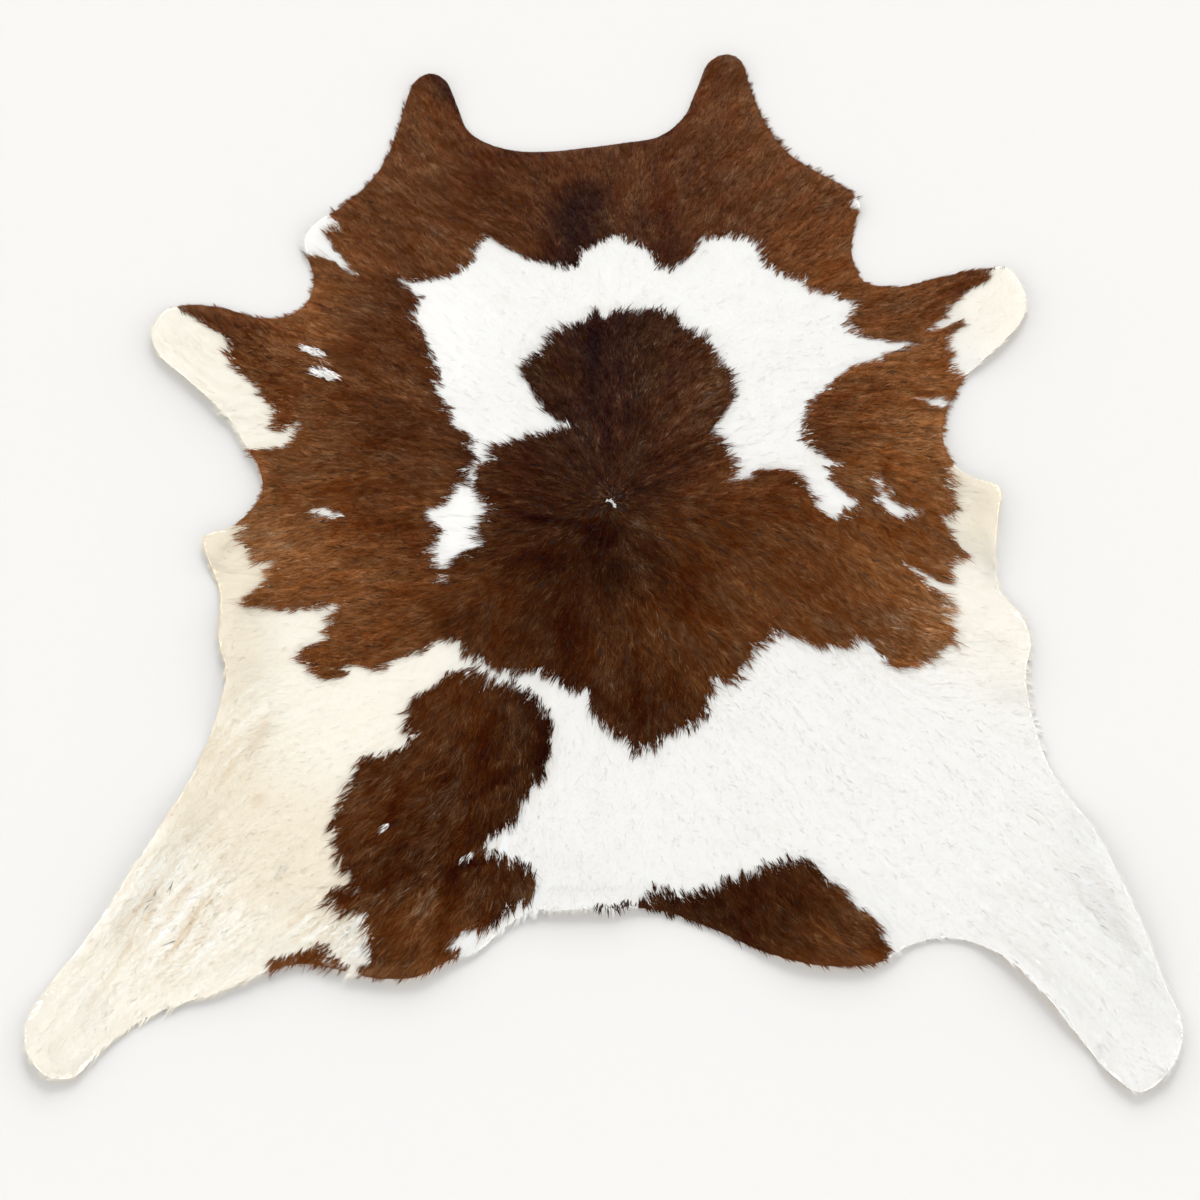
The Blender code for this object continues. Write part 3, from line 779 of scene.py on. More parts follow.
def add_node(tree, kind, settings=None, inputs=None):
    """Adds a node, makes its settings, then gives its sockets their values or links."""
    node = tree.nodes.new(kind)
    for name, value in (settings or {}).items():
        setattr(node, name, value)
    for name, value in (inputs or {}).items():
        if isinstance(value, Socket):
            tree.links.new(value.socket, node.inputs[name])
        else:
            node.inputs[name].default_value = value
    return node


def mixed(tree, share, first, second, blend="MIX"):
    """Two colours mixed by a share, through a Mix node."""
    node = add_node(tree, "ShaderNodeMix", {"data_type": "RGBA", "blend_type": blend})
    for index, value in ((0, share), (6, first), (7, second)):
        if isinstance(value, Socket):
            tree.links.new(value.socket, node.inputs[index])
        else:
            node.inputs[index].default_value = value
    return Socket(tree, node.outputs[2])


def noise(tree, scale, detail=3.0, roughness=0.55):
    """Noise fixed to the object, with a scale in features per metre."""
    place = Socket(tree, add_node(tree, "ShaderNodeTexCoord").outputs["Object"])
    inputs = {"Vector": place, "Scale": scale, "Detail": detail, "Roughness": roughness}
    return Socket(tree, add_node(tree, "ShaderNodeTexNoise", None, inputs).outputs["Fac"])


def coat_shade(tree):
    """The colour that each corner of a mesh carries, kept under the name coat."""
    node = add_node(tree, "ShaderNodeAttribute", {"attribute_name": "coat"})
    return Socket(tree, node.outputs["Color"])


def new_material(name):
    """A material's node tree and its shader."""
    material = bpy.data.materials.new(name)
    material.use_nodes = True
    return material, material.node_tree, material.node_tree.nodes["Principled BSDF"]


def plug(tree, shader, inputs):
    """Sets or links several of the shader's sockets."""
    for name, value in inputs.items():
        if isinstance(value, Socket):
            tree.links.new(value.socket, shader.inputs[name])
        else:
            shader.inputs[name].default_value = value


print("material helpers ready")

# %% [markdown]
# ## The leather sheet
#
# Under the hair is a sheet of tanned skin about two and a half millimetres thick. Its
# rim shows as a thin pale edge, and its underside is suede. The top takes the colours of
# the coat, darker under the brown, so that nothing pale glints between the brown hairs.
# The cut edge is darker still, because it faces the floor's shadow. The two faces are
# triangulated separately: the top needs small triangles to hold the pattern's borders, and
# the underside doesn't.

# %% Build the leather
TOP_STEP = 13.0 * MM
BOTTOM_STEP = 40.0 * MM
FLOOR_GAP = 0.2 * MM
UNDER_BROWN = 0.7        # the leather's top is this dark beside the brown hair over it
CUT_EDGE_SHADE = 0.4     # and the cut edge is this dark beside the top
SUEDE = (196, 180, 158)
CLEAR_STEPS, CLEAR_BAND = 0.7, 0.9      # inner points keep this far from the rim
LIGHTEST_LEATHER = 0.95


def face_of_leather(step):
    """The flat outline filled with triangles: points (rim first) and faces."""
    xs = np.arange(CHART_LOW[0], CHART_HIGH[0], step)
    ys = np.arange(CHART_LOW[1], CHART_HIGH[1], step * math.sqrt(3) / 2)
    grid = np.array([(x + step / 2 * (j % 2), y) for j, y in enumerate(ys) for x in xs])
    grid = grid[read(depth_chart, FINE, grid) > min(CLEAR_STEPS * step, CLEAR_BAND * RIM_BAND)]
    points = np.concatenate([rim, grid])
    edges = [(i, (i + 1) % len(rim)) for i in range(len(rim))]
    flat, _, faces, *_ = delaunay_2d_cdt([Vector(p) for p in points], edges, [], 1, 1e-6)
    return np.array([tuple(p) for p in flat]), [tuple(face) for face in faces]


def make_leather():
    """The sheet of leather, with a colour at every corner of its faces."""
    top, top_faces = face_of_leather(TOP_STEP)
    bottom, bottom_faces = face_of_leather(BOTTOM_STEP)
    count = len(rim)
    low = read(underside_chart, HEIGHT_STEP, bottom) + FLOOR_GAP
    high = read(underside_chart, HEIGHT_STEP, top) + LEATHER_THICKNESS
    points = np.concatenate([np.column_stack([top, high]), np.column_stack([bottom, low])])
    faces = top_faces + [tuple(len(top) + i for i in reversed(face)) for face in bottom_faces]
    faces += [(i, (i + 1) % count, len(top) + (i + 1) % count, len(top) + i) for i in range(count)]
    mesh = bpy.data.meshes.new("hide_leather")
    mesh.from_pydata(points.tolist(), [], faces)
    mesh.validate()
    piece = bpy.data.objects.new("hide_leather", mesh)
    bpy.context.scene.collection.objects.link(piece)
    rounded = np.arange(len(faces)) < len(faces) - count      # the cut edge stays crisp
    mesh.polygons.foreach_set("use_smooth", rounded)
    brown = read(brown_share, FINE, top) > 0.5
    darker = np.where(brown, UNDER_BROWN, 1.0)[:, None]
    colour = np.minimum(coat_colour(brown, top) * darker, LIGHTEST_LEATHER)
    suede = np.tile(to_linear(SUEDE), (len(bottom), 1))
    corner = np.array([point for face in faces for point in face])
    shade = np.ones((len(corner), 4), np.float32)
    shade[:, :3] = np.concatenate([colour, suede])[corner]
    shade[-4 * count :, :3] *= CUT_EDGE_SHADE
    shades = mesh.attributes.new("coat", "FLOAT_COLOR", "CORNER")
    shades.data.foreach_set("color", shade.ravel())
    return piece


leather = make_leather()
print("leather:", len(leather.data.vertices), "points,", len(leather.data.polygons), "faces")

# %% [markdown]
# Skin and suede are matt, with a short nap and slow clouds of lighter and darker hide. Two
# noises give both. The fine one also raises the surface a little through a bump and breaks
# up the roughness, so that the leather doesn't look like painted card.

# %% Finish the leather
def leather_finish():
    """Matt skin and suede."""
    material, tree, shader = new_material("suede and skin")
    coat = coat_shade(tree)
    nap = noise(tree, 420.0, 4.0)
    cloud = noise(tree, 14.0)
    grain = nap * 0.5 + cloud * 0.5
    darker = mixed(tree, 1.0, coat, (0.88, 0.86, 0.83, 1.0), "MULTIPLY")
    relief = {"Height": nap, "Strength": 0.35, "Distance": 0.4 * MM}
    bump = add_node(tree, "ShaderNodeBump", None, relief)
    plug(tree, shader, {
        "Base Color": mixed(tree, grain, darker, coat),
        "Roughness": 0.82 + (nap - 0.5) * 0.2,
        "Normal": Socket(tree, bump.outputs["Normal"]),
        "Specular IOR Level": 0.25,
    })
    return material


leather.data.materials.append(leather_finish())
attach(leather, "root")
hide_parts("hide")
print("leather finished and riding on the root")

# %% [markdown]
# ## Planning the hair
#
# A real hide carries millions of hairs. What the eye sees from a step away is **locks**:
# small bunches that start side by side, share a heading and a shade, and run together at
# their tips. So the coat is planned lock by lock. Each lock gets its own heading, length,
# lift and shade, and then a handful of hairs is drawn around it. The random numbers come
# from a generator with a fixed seed, so the same coat grows each time.

# %% Place the locks
SEED = 7
LOCK_STEP = 8.7 * MM
JITTER = 0.45            # how far a lock strays from its grid point, in steps
PAST_RIM = 1.0 * MM      # how far outside the rim a lock may still start
SWELLS = 14              # waves that are added up
SWELL_PITCHES = (0.6, 1.6)               # their lengths, times the usual one
dice = np.random.default_rng(SEED)


def waves(at, size, strength, seed):
    """Slow random swells of this size over the hide, with no repeats."""
    own = np.random.default_rng(seed)
    total = np.zeros(len(at))
    for _ in range(SWELLS):
        turn, phase = own.uniform(0, 2 * math.pi, 2)
        pitch = size * own.uniform(*SWELL_PITCHES)
        total += np.sin((at @ (math.cos(turn), math.sin(turn))) * 2 * math.pi / pitch + phase)
    return total * strength / math.sqrt(SWELLS / 2)


def place_locks():
    """The middles of the locks: a jittered grid of triangles over the hide."""
    xs = np.arange(CHART_LOW[0], CHART_HIGH[0], LOCK_STEP)
    ys = np.arange(CHART_LOW[1], CHART_HIGH[1], LOCK_STEP * math.sqrt(3) / 2)
    x, y = np.meshgrid(xs, ys)
    x = x + LOCK_STEP / 2 * (np.arange(len(ys)) % 2)[:, None]
    grid = np.stack([x.ravel(), y.ravel()], axis=1)
    grid += dice.uniform(-JITTER, JITTER, grid.shape) * LOCK_STEP
    return grid[read(depth_chart, FINE, grid) > -PAST_RIM]


locks = place_locks()

# %% [markdown]
# Hair stands up and parts into fine tufts in three kinds of place: along the border of a
# patch, where the two coats push against each other, in the fringe at the rim, and where
# the hide has been ruffled. Anywhere else the white hair lies so close to the skin that it
# looks smooth. The next cell measures how loose each lock is, from 0 to 1. Loose locks will
# be longer, thinner and more pointed, and ruffled white ones will also stand higher.

# %% Where the hair is loose
BORDER_BLUR = 7          # half the blur's width, in steps of the fine chart
BORDER_GAIN = 5          # brings the middle of a border up to 1
RIM_FRINGE = 22.0 * MM
LONG_FRINGE = 12.0 * MM  # an overhang this long counts as fully loose
# Ruffled places: x, y and reach in centimetres, and how ruffled the hair is there.
RUFFLES = (
    (-78, -84, 14, 0.35), (-70, -50, 9, 0.25), (-45, -88, 7, 0.5), (82, -85, 12, 0.1),
    (-85, 36, 8, 0.12), (-29, -62, 8, 0.6), (-30, -78, 8, 0.6), (6, 32, 8, 0.3),
    (14, -30, 9, 0.3), (55, -28, 8, 0.3),
)


def chart_borders():
    """A chart that is 1 along the borders of the patches and falls to 0 beside them."""
    share, shifts = brown_share, range(-BORDER_BLUR, BORDER_BLUR + 1)
    for axis in (0, 1):
        share = np.mean([np.roll(share, shift, axis) for shift in shifts], axis=0)
    return np.clip(BORDER_GAIN * share * (1 - share), 0, 1)


def ruffled(at):
    """How ruffled the coat is at these places."""
    total = np.zeros(len(at))
    for x, y, reach, amount in RUFFLES:
        gap = np.linalg.norm(at - placed((x, y)), axis=1) / (reach * CM)
        total = np.maximum(total, amount * np.exp(-0.5 * gap**2))
    return total


def in_fringe(at):
    """How much the hair at these places is part of a hanging fringe."""
    near_rim = np.clip(1 - read(depth_chart, FINE, at) / RIM_FRINGE, 0, 1)
    return near_rim * np.clip(read(overhang_chart, FINE, at) / LONG_FRINGE, 0, 1)


lock_ruffled = ruffled(locks)
lock_loose = np.max([lock_ruffled, in_fringe(locks), read(chart_borders(), FINE, locks)], axis=0)
print(f"{(lock_loose > 0.5).mean():.0%} of the locks are loose,",
      f"{(lock_ruffled > 0.1).mean():.0%} are ruffled")

# %% [markdown]
# Hair is short on the back and at the whorl, and longer on the thighs and the belly. The
# next cell gives every lock its length and heading. The headings wander a little over a
# few centimetres, which makes the soft swirls in the coat.

# %% Lengths and headings of the locks
HAIR_LENGTH = 22.0 * MM
BETWEEN = 0.35           # how firmly hair between the regions keeps the usual length
# Each region: x, y and reach in centimetres, and what its hair is times the usual length.
LENGTHS = (
    (1, 0, 8, 0.62), (0, 35, 14, 0.85), (-5, 78, 14, 0.85), (-75, -85, 22, 1.3),
    (-60, -45, 16, 1.2), (76, -30, 12, 1.25), (80, -80, 22, 1.15), (0, -78, 10, 1.2),
    (-88, 40, 9, 1.1), (85, 52, 8, 1.1), (-30, -65, 12, 1.05),
)


def hair_length(at):
    """The usual length of the hair at these places."""
    factor, weight = np.full(len(at), BETWEEN), np.full(len(at), BETWEEN)
    for x, y, reach, times in LENGTHS:
        gap = np.linalg.norm(at - placed((x, y)), axis=1) / (reach * CM)
        share = np.exp(-0.5 * gap**2)
        factor, weight = factor + share * times, weight + share
    return HAIR_LENGTH * factor / weight


LOOSE_LONGER = 0.2       # a fully loose lock is longer by this share
LENGTH_SPREAD, TURN_SPREAD = 0.13, 0.15  # from lock to lock, as a share and in radians
# Slow swirls of the heading: size in metres, strength in radians, seed.
SWIRLS = ((0.045, 0.15, 11), (0.20, 0.08, 12))
lock_length = hair_length(locks) * np.exp(dice.normal(0, LENGTH_SPREAD, len(locks)))
lock_length *= 1 + LOOSE_LONGER * lock_loose
lock_way = read(heading_chart, COARSE, locks)
lock_turn = np.arctan2(lock_way[:, 1], lock_way[:, 0])
lock_turn = lock_turn + dice.normal(0, TURN_SPREAD, len(locks))
for swirl in SWIRLS:
    lock_turn += waves(locks, *swirl)
print("hair from", round(lock_length.min() / MM, 1), "to", round(lock_length.max() / MM, 1), "mm")

# %% [markdown]
# A lock's colour comes from the patches, but read somewhere along the lock, where it lies
# over its neighbours. How far along differs from lock to lock. That one choice turns the
# smooth outlines into the torn, pointed borders of a real hide.

# %% Brown locks and white locks
BORDER_SHIFT = 0.5       # how far along the hair its colour is read, on average
LOCK_SHIFTS = (0.2, 1.8) # and the least and most of that, from lock to lock


def turned(angle):
    """Unit vectors at these angles."""
    return np.stack([np.cos(angle), np.sin(angle)], axis=1)


fall = BORDER_SHIFT * lock_length[:, None] * turned(lock_turn)
lock_place = locks + fall * dice.uniform(*LOCK_SHIFTS, (len(locks), 1))
lock_brown = read(brown_share, FINE, lock_place) > 0.5
print(f"{lock_brown.mean():.0%} of the locks are brown")

# %% [markdown]
# A coat is never level or evenly shaded. Low heaps and hollows run along it in streaks, like
# brush strokes. A streak is made by reading random numbers at several places along the
# hair's own heading and adding them up: across the hair they still change quickly, and
# along it they hardly change at all. The heaps are charted, so that the light can also
# follow their slopes.

# %% Streaks along the hair
READ_SHARES = np.linspace(-1, 1, 9)      # the places along its reach that a streak adds up


def streaks(at, width, reach, seed):
    """Random swings, about 1 in size, this wide and drawn out this far along the hair."""
    xs, ys = chart_lines(width)
    grain = np.random.default_rng(seed).normal(0, 1, (len(ys), len(xs)))
    way = read(heading_chart, COARSE, at)
    way = way / (np.linalg.norm(way, axis=1, keepdims=True) + 1e-9)
    total = sum(read(grain, width, at + way * (reach * share)) for share in READ_SHARES)
    return total / total.std()


RELIEF_STEP = 3.0 * MM
HEAP_LIMIT = 1.5         # heaps higher than this are rounded off
relief_xs, relief_ys = chart_lines(RELIEF_STEP)
relief_places = np.stack(np.meshgrid(relief_xs, relief_ys), axis=-1)
flat_places = relief_places.reshape(-1, 2)
# Each run of heaps: width and reach in metres, height, seed.
HEAPS = (
    (0.006, 0.014, 0.35, 30), (0.012, 0.022, 0.5, 31),
    (0.024, 0.03, 0.6, 32), (0.05, 0.04, 0.6, 33),
)
relief_chart = sum(height * streaks(flat_places, width, reach, seed)
                   for width, reach, height, seed in HEAPS)
relief_chart = np.tanh(relief_chart / HEAP_LIMIT).reshape(relief_places.shape[:2])
slope_chart = np.stack(np.gradient(relief_chart, RELIEF_STEP)[::-1], axis=-1)
print("heaps from", round(float(relief_chart.min()), 2), "to", round(float(relief_chart.max()), 2))

# %% [markdown]
# ## Drawing each hair
#
# A hair as a tube would cost dozens of triangles. From a step away a flat blade looks the
# same, so each hair is a **kite** of two triangles: pointed at the root, widest a little
# below its middle, and pointed at the tip. It bends where the two triangles meet, lifting
# off the skin and then lying down again. A small roll about its own length makes
# neighbouring hairs catch the light differently, as a real coat does.

# %% Root, middle and tip of every hair
LOCK_REACH = np.array([8.5, 6.0]) * MM      # how far roots spread along and across a lock
GATHER, LOOSE_GATHER = 0.5, 0.9             # how much of its sideways offset a tip loses
MIDDLE = 0.42                               # where along the hair it is widest
# Each kind: its share of a brown lock and of a white one, blade width in mm, times the usual
# length, times the usual lift, and how much its shade varies.
KINDS = (
    ("soft body of the coat", 0.45, 0.78, 2.0, 0.95, 0.85, 0.15),
    ("single strands", 0.51, 0.22, 0.85, 0.8, 1.1, 0.46),
    ("stray guard hairs", 0.04, 0.0, 0.6, 1.25, 1.5, 0.3),
    ("white heart of the whorl", 0.0, 0.0, 1.4, 0.3, 1.5, 0.0),
)
# The heart is an arc of short white hairs: its points in centimetres.
HEART = placed((
    (0.1, 0.2), (0.5, 0.5), (0.95, 0.5), (1.35, 0.2), (1.65, -0.2), (1.85, -0.6), (1.95, -1.0),
))
HEART_HAIRS = 110
HEART_THIN, HEART_SWELL = 0.2, 0.9      # its width at the ends, and what the middle adds, in mm
HEART_TURN = 0.4                        # how far its hairs stray from the arc, in radians
GUARD_KIND, HEART_KIND = 2, 3           # their rows in KINDS
BROWN_HAIRS, WHITE_HAIRS = 12, 8        # to a lock
STRAY = np.array([1.0, 1.7, 2.5, 1.0])  # how far each kind strays from its lock's heading
NEAREST_RIM = 0.6 * MM                  # no hair has its root closer to the rim than this
HAIR_TURN, HAIR_SPREAD = 0.1, 0.15      # from hair to hair, in radians and as a share
PULL_SPREAD = 0.8                       # in millimetres


def heart_hairs():
    """The roots and headings of the white hairs at the whorl."""
    spot = dice.uniform(0, len(HEART) - 1.001, HEART_HAIRS)
    first = spot.astype(int)
    run = HEART[first + 1] - HEART[first]
    fat = HEART_THIN + HEART_SWELL * np.sin(math.pi * spot / (len(HEART) - 1))
    at = HEART[first] + run * (spot - first)[:, None]
    at += dice.normal(0, MM, (HEART_HAIRS, 2)) * fat[:, None]
    return at, np.arctan2(run[:, 1], run[:, 0]) + dice.normal(0, HEART_TURN, HEART_HAIRS)


def plan_hairs():
    """Every hair's lock, kind, root, heading, length and sideways pull."""
    lock = np.repeat(np.arange(len(locks)), np.where(lock_brown, BROWN_HAIRS, WHITE_HAIRS))
    shares = np.cumsum([row[1:3] for row in KINDS], axis=0)[:, np.where(lock_brown[lock], 0, 1)]
    kind = np.minimum((dice.random(len(lock)) > shares).sum(axis=0), GUARD_KIND)
    angle = lock_turn[lock] + dice.normal(0, HAIR_TURN, len(lock)) * STRAY[kind]
    along, across = (dice.uniform(-1, 1, len(lock)) * reach for reach in LOCK_REACH)
    root = locks[lock] + turned(angle) * along[:, None]
    root += turned(angle + math.pi / 2) * across[:, None]
    kept = read(depth_chart, FINE, root) > NEAREST_RIM
    lock, kind, angle, root, across = (a[kept] for a in (lock, kind, angle, root, across))
    heart_root, heart_angle = heart_hairs()
    nearest = np.argmin(np.linalg.norm(locks - WHORL, axis=1))
    root, angle = np.concatenate([root, heart_root]), np.append(angle, heart_angle)
    lock = np.append(lock, np.full(HEART_HAIRS, nearest))
    kind = np.append(kind, np.full(HEART_HAIRS, HEART_KIND))
    across = np.append(across, np.zeros(HEART_HAIRS))
    way, side = turned(angle), turned(angle + math.pi / 2)
    length = lock_length[lock] * np.exp(dice.normal(0, HAIR_SPREAD, len(lock)))
    length *= np.array([row[4] for row in KINDS])[kind]
    gather = GATHER + (LOOSE_GATHER - GATHER) * lock_loose[lock]
    pull = -gather * across + dice.normal(0, PULL_SPREAD, len(lock)) * MM
    return lock, kind, root, way, side, length, pull


hair_lock, hair_kind, root, way, side, length, pull = plan_hairs()
loose, ruffle = lock_loose[hair_lock], lock_ruffled[hair_lock]
print(len(root), "hairs")

# %% [markdown]
# Shears trim the neck edge, and elsewhere the hair hangs over the leather's rim by a few
# millimetres. Each hair whose tip would reach too far is cut back. How far is too far
# changes from tuft to tuft, about every centimetre, which leaves the fringe ragged.

# %% Trim the hair at the rim
CUT_STEPS = 8
SHORTEST = 3.5 * MM      # no hair is cut shorter than this
BARE_OVERHANG = 1.2 * MM # how far hair may pass the rim even where it is clipped
TUFT_WIDTH = 10.0 * MM
TUFT_BLUR = 0.25         # how much the locks of a tuft differ in how far they reach
LEAST_TOOTH, MOST_TOOTH = 0.1, 2.6      # times the overhang there
tuft_xs, tuft_ys = chart_lines(TUFT_WIDTH)
tuft_grain = np.random.default_rng(51).random((len(tuft_ys), len(tuft_xs)))


def trimmed(length):
    """Each hair's length, cut where it passes the overhang allowed at the rim there."""
    allowed = length.copy()
    tuft = read(tuft_grain, TUFT_WIDTH, locks)
    tuft = tuft + TUFT_BLUR * dice.normal(0, 1, len(locks))
    tooth = (LEAST_TOOTH + MOST_TOOTH * np.clip(tuft, 0, 1) ** 2)[hair_lock]
    for share in np.linspace(1.0, 0.0, CUT_STEPS + 1)[:-1]:
        tip = root + way * (length * share)[:, None]
        outside = -read(depth_chart, FINE, tip)
        limit = BARE_OVERHANG + read(overhang_chart, FINE, tip) * tooth
        allowed = np.where(outside > limit, length * (share - 1 / CUT_STEPS), allowed)
    return np.maximum(allowed, SHORTEST)


full_length, length = length, trimmed(length)
print(int((length < full_length).sum()), "hairs trimmed at the rim")

# %% [markdown]
# Now each hair is brown or white. Most hairs follow their lock, and the others follow their
# own place instead, which feathers the points of the torn borders.

# %% Brown hairs and white hairs
LONERS = 0.3             # the share of hairs that follow their own place
OWN_SHIFTS = (0.3, 1.7)
own_fall = way * (BORDER_SHIFT * full_length * dice.uniform(*OWN_SHIFTS, len(root)))[:, None]
own_brown = read(brown_share, FINE, root + own_fall) > 0.5
brown = np.where(dice.random(len(root)) < LONERS, own_brown, lock_brown[hair_lock])
print(f"{brown.mean():.0%} of the hairs are brown")

# %% [markdown]
# The hairs of a lock differ a little in shade, and now and then one is much paler or
# darker. The darker the coat, the more such a hair stands out. White hair varies far less
# than brown, because it has no pigment to vary: what shows in it is its own shadow, painted
# into its colour, and only where it is ruffled. Along the clipped neck edge the brown hair
# is darkened in a band of painted shade.

# %% Shade of every hair
BROWN_GAIN = 1.31        # hair shades its neighbours, so brown hair is mixed this much lighter
WHITE_GAIN = 0.935       # white hair passes light on to its neighbours, so it is mixed darker
RUFFLE_GAIN = 0.12       # and less so where it is ruffled, because it shades itself more there
HAZE = np.array([0.003, 0.0033, 0.0042])     # light that brown hair mirrors on top of its colour
# How strongly red, green and blue follow a swing of shade: a dark hair looks redder, and a
# pale one a little greyer, which is painted sheen.
PALE_SHEEN, DARK_SHEEN = np.array([[0.6, 1.0, 1.5], [0.45, 1.0, 2.2]])
# Streaks of shade: width and reach in metres, strength, seed.
SHADE_STREAKS = (
    (0.003, 0.008, 0.15, 41), (0.006, 0.006, 0.11, 42), (0.011, 0.004, 0.1, 45),
    (0.02, 0.006, 0.11, 43), (0.045, 0.015, 0.1, 46),
)
# Painted shade between the strands of ruffled white hair: width and reach in metres, strength,
# seed.
STRAND_SHADE_STREAKS = ((0.003, 0.022, 0.14, 47), (0.006, 0.03, 0.13, 48))    # in ruffled white hair
LOCK_SPREAD = 0.04       # how much whole locks differ
GUARD_HAIRS_LIGHTER = 0.8
SWING, DARK_SWING, RUFFLE_SWING = 0.65, 1.2, 0.8     # of all hair, of dark and of ruffled hair
DARK_HAIR = 0.02         # how dark the green of dark hair is
WHITE_SWING, RUFFLED_WHITE_SWING = 0.03, 0.2         # how much of a swing white hair shows
WHITEST = 0.1            # swings towards the light end here in white hair
# How faintly the strokes' painted shade and painted sheen show in white hair.
SHADE_AND_SHEEN_IN_WHITE = 0.1   # how faintly the furrows show in white hair
# A band of painted shade along the clipped neck edge: how dark it is, and how wide.
EDGE_PAINTED_SHADE = 0.5
EDGE_WIDTH = 14.0 * MM
HEART_WHITE = (255, 252, 248)
LEAST_COLOUR = 0.3       # the share of its colour that brown hair keeps under the haze
CLIPPED_OVERHANG = 1.0 * MM             # the rim counts as clipped where less hair hangs over
# Warmer and cooler streaks: width and reach in metres, seed. Then how strong they are, how
# much single hairs differ, and how far green follows red.
WARM_STREAKS = (0.02, 0.03, 44)
WARM_STRENGTH, WARM_SPREAD, WARM_GREEN = 0.05, 0.02, 0.3
DARKEST_COLOUR, LIGHTEST_COLOUR = 0.001, 0.985


def shade_swing(colour, middle):
    """How much darker or lighter than its tone each hair is, as a logarithm."""
    spread = np.array([row[6] for row in KINDS])[hair_kind]
    own = dice.normal(0, 1, len(root)) * spread
    swing = own + (LOCK_SPREAD * dice.normal(0, 1, len(locks)))[hair_lock]
    for width, reach, strength, seed in SHADE_STREAKS:
        swing += strength * streaks(middle, width, reach, seed)
    # painted shade of the furrows and painted sheen of the blooms
    strokes = painted_shade_and_sheen(middle)
    swing += strokes + GUARD_HAIRS_LIGHTER * (hair_kind == GUARD_KIND)
    swing *= SWING + DARK_SWING * np.exp(-colour[:, 1] / DARK_HAIR) + RUFFLE_SWING * ruffle
    in_white = np.minimum(swing, WHITEST) * (WHITE_SWING + RUFFLED_WHITE_SWING * ruffle)
    # painted shade between the strands, where white hair is ruffled
    for width, reach, strength, seed in STRAND_SHADE_STREAKS:
        in_white += ruffle * strength * streaks(middle, width, reach, seed)
    return np.where(brown, swing, in_white + SHADE_AND_SHEEN_IN_WHITE * strokes)[:, None]


def hair_shades():
    """Every hair's linear colour, and whether it belongs to a mark."""
    middle = root + way * (0.5 * length)[:, None]
    colour = coat_colour(brown, middle)
    colour[brown] = BROWN_GAIN * np.maximum(colour[brown] - HAZE, LEAST_COLOUR * colour[brown])
    colour[~brown] *= (WHITE_GAIN + RUFFLE_GAIN * ruffle[~brown])[:, None]
    swing = shade_swing(colour, middle)
    # pale swings turn greyer as painted sheen, dark ones redder
    swing = swing * np.where((swing > 0) | ~brown[:, None], PALE_SHEEN, DARK_SHEEN)
    swing -= np.log(np.mean(np.exp(swing[brown]), axis=0)) * brown[:, None]
    # painted shade along the clipped neck edge
    clipped = np.exp(-read(overhang_chart, FINE, middle) / CLIPPED_OVERHANG)
    edge = np.clip(1 - read(depth_chart, FINE, middle) / EDGE_WIDTH, 0, 1) * clipped
    colour *= np.exp(swing) * (1 - EDGE_PAINTED_SHADE * edge * brown)[:, None]
    warmth = WARM_STRENGTH * streaks(middle, *WARM_STREAKS)
    warmth = (warmth + dice.normal(0, WARM_SPREAD, len(root))) * brown
    colour *= np.stack([1 + warmth, 1 + WARM_GREEN * warmth, 1 - warmth], axis=1)
    marked = add_marks(colour, middle, hair_kind > 0, dice.random(len(root)))
    colour[hair_kind == HEART_KIND] = to_linear(HEART_WHITE)
    return np.clip(colour, DARKEST_COLOUR, LIGHTEST_COLOUR), marked


hair_colour, marked = hair_shades()
for title, chosen in (("brown", brown), ("white", ~brown)):
    print("mean", title, np.round(hair_colour[chosen].mean(axis=0), 3))

# %% [markdown]
# Now the heights. The brown coat is about three millimetres deep. The white one is finer
# and lies flatter, less than half a millimetre deep, except where it is ruffled or lies
# over brown hair. Both thin towards the rim. The widest part of each blade floats a little
# above the skin, and its tip comes to rest on the hairs in front. Past the rim the tips
# droop towards the floor.

# %% Bend every hair
BROWN_DEPTH, WHITE_DEPTH, RUFFLED_DEPTH = 3.2 * MM, 0.4 * MM, 3.0 * MM
BROWN_CLEARANCE, WHITE_CLEARANCE = 0.25 * MM, 0.12 * MM     # under the lowest blades
COAT_EDGE, THINNEST = 26.0 * MM, 0.12   # where the coat starts to thin, and how thin it gets
HOLLOWS = 0.28           # the share of the depth that heaps and hollows take up
OVER_BROWN = 0.9 * MM    # how much higher white hair lies where it runs over brown hair
MARK_LIFT = 0.9 * MM     # tufts and specks lie on top
DROOP, DROOP_REACH = 0.35, 12 * MM      # how steeply tips fall past the rim, and how far
PALE_WIDTH = 2.0         # white blades are this many times as wide
BROWN_THINNER, WHITE_THINNER = 0.25, 0.55            # the width that a loose blade loses
BROWN_ROLL, WHITE_ROLL, RUFFLE_ROLL = 0.14, 0.03, 0.12      # radians
MIDDLE_PULL = 0.3        # the share of a tip's sideways pull that its middle has
MIDDLE_HEIGHTS, TIP_HEIGHTS = (0.65, 1.0), (0.3, 1.0)       # least and most, times the depth
TIP_CLEARANCE = 0.6 * MM # above the floor
WIDTH_SPREAD = 0.2
DEEPEST_ROLL = 0.4       # how far a blade's edge may sink, times the depth
ROOT_SINK = 0.2 * MM     # how far roots start under the leather's top


def on_leather(at):
    """The height of the leather's top at these places."""
    return read(underside_chart, HEIGHT_STEP, at) + LEATHER_THICKNESS


def coat_depth(centre, inside, lift):
    """How deep the coat is at each hair."""
    white_depth = WHITE_DEPTH + (RUFFLED_DEPTH - WHITE_DEPTH) * ruffle
    depth = np.where(brown, BROWN_DEPTH, white_depth) * inside * (2 - inside) * lift
    return depth * (1 - HOLLOWS + HOLLOWS * read(relief_chart, RELIEF_STEP, centre))


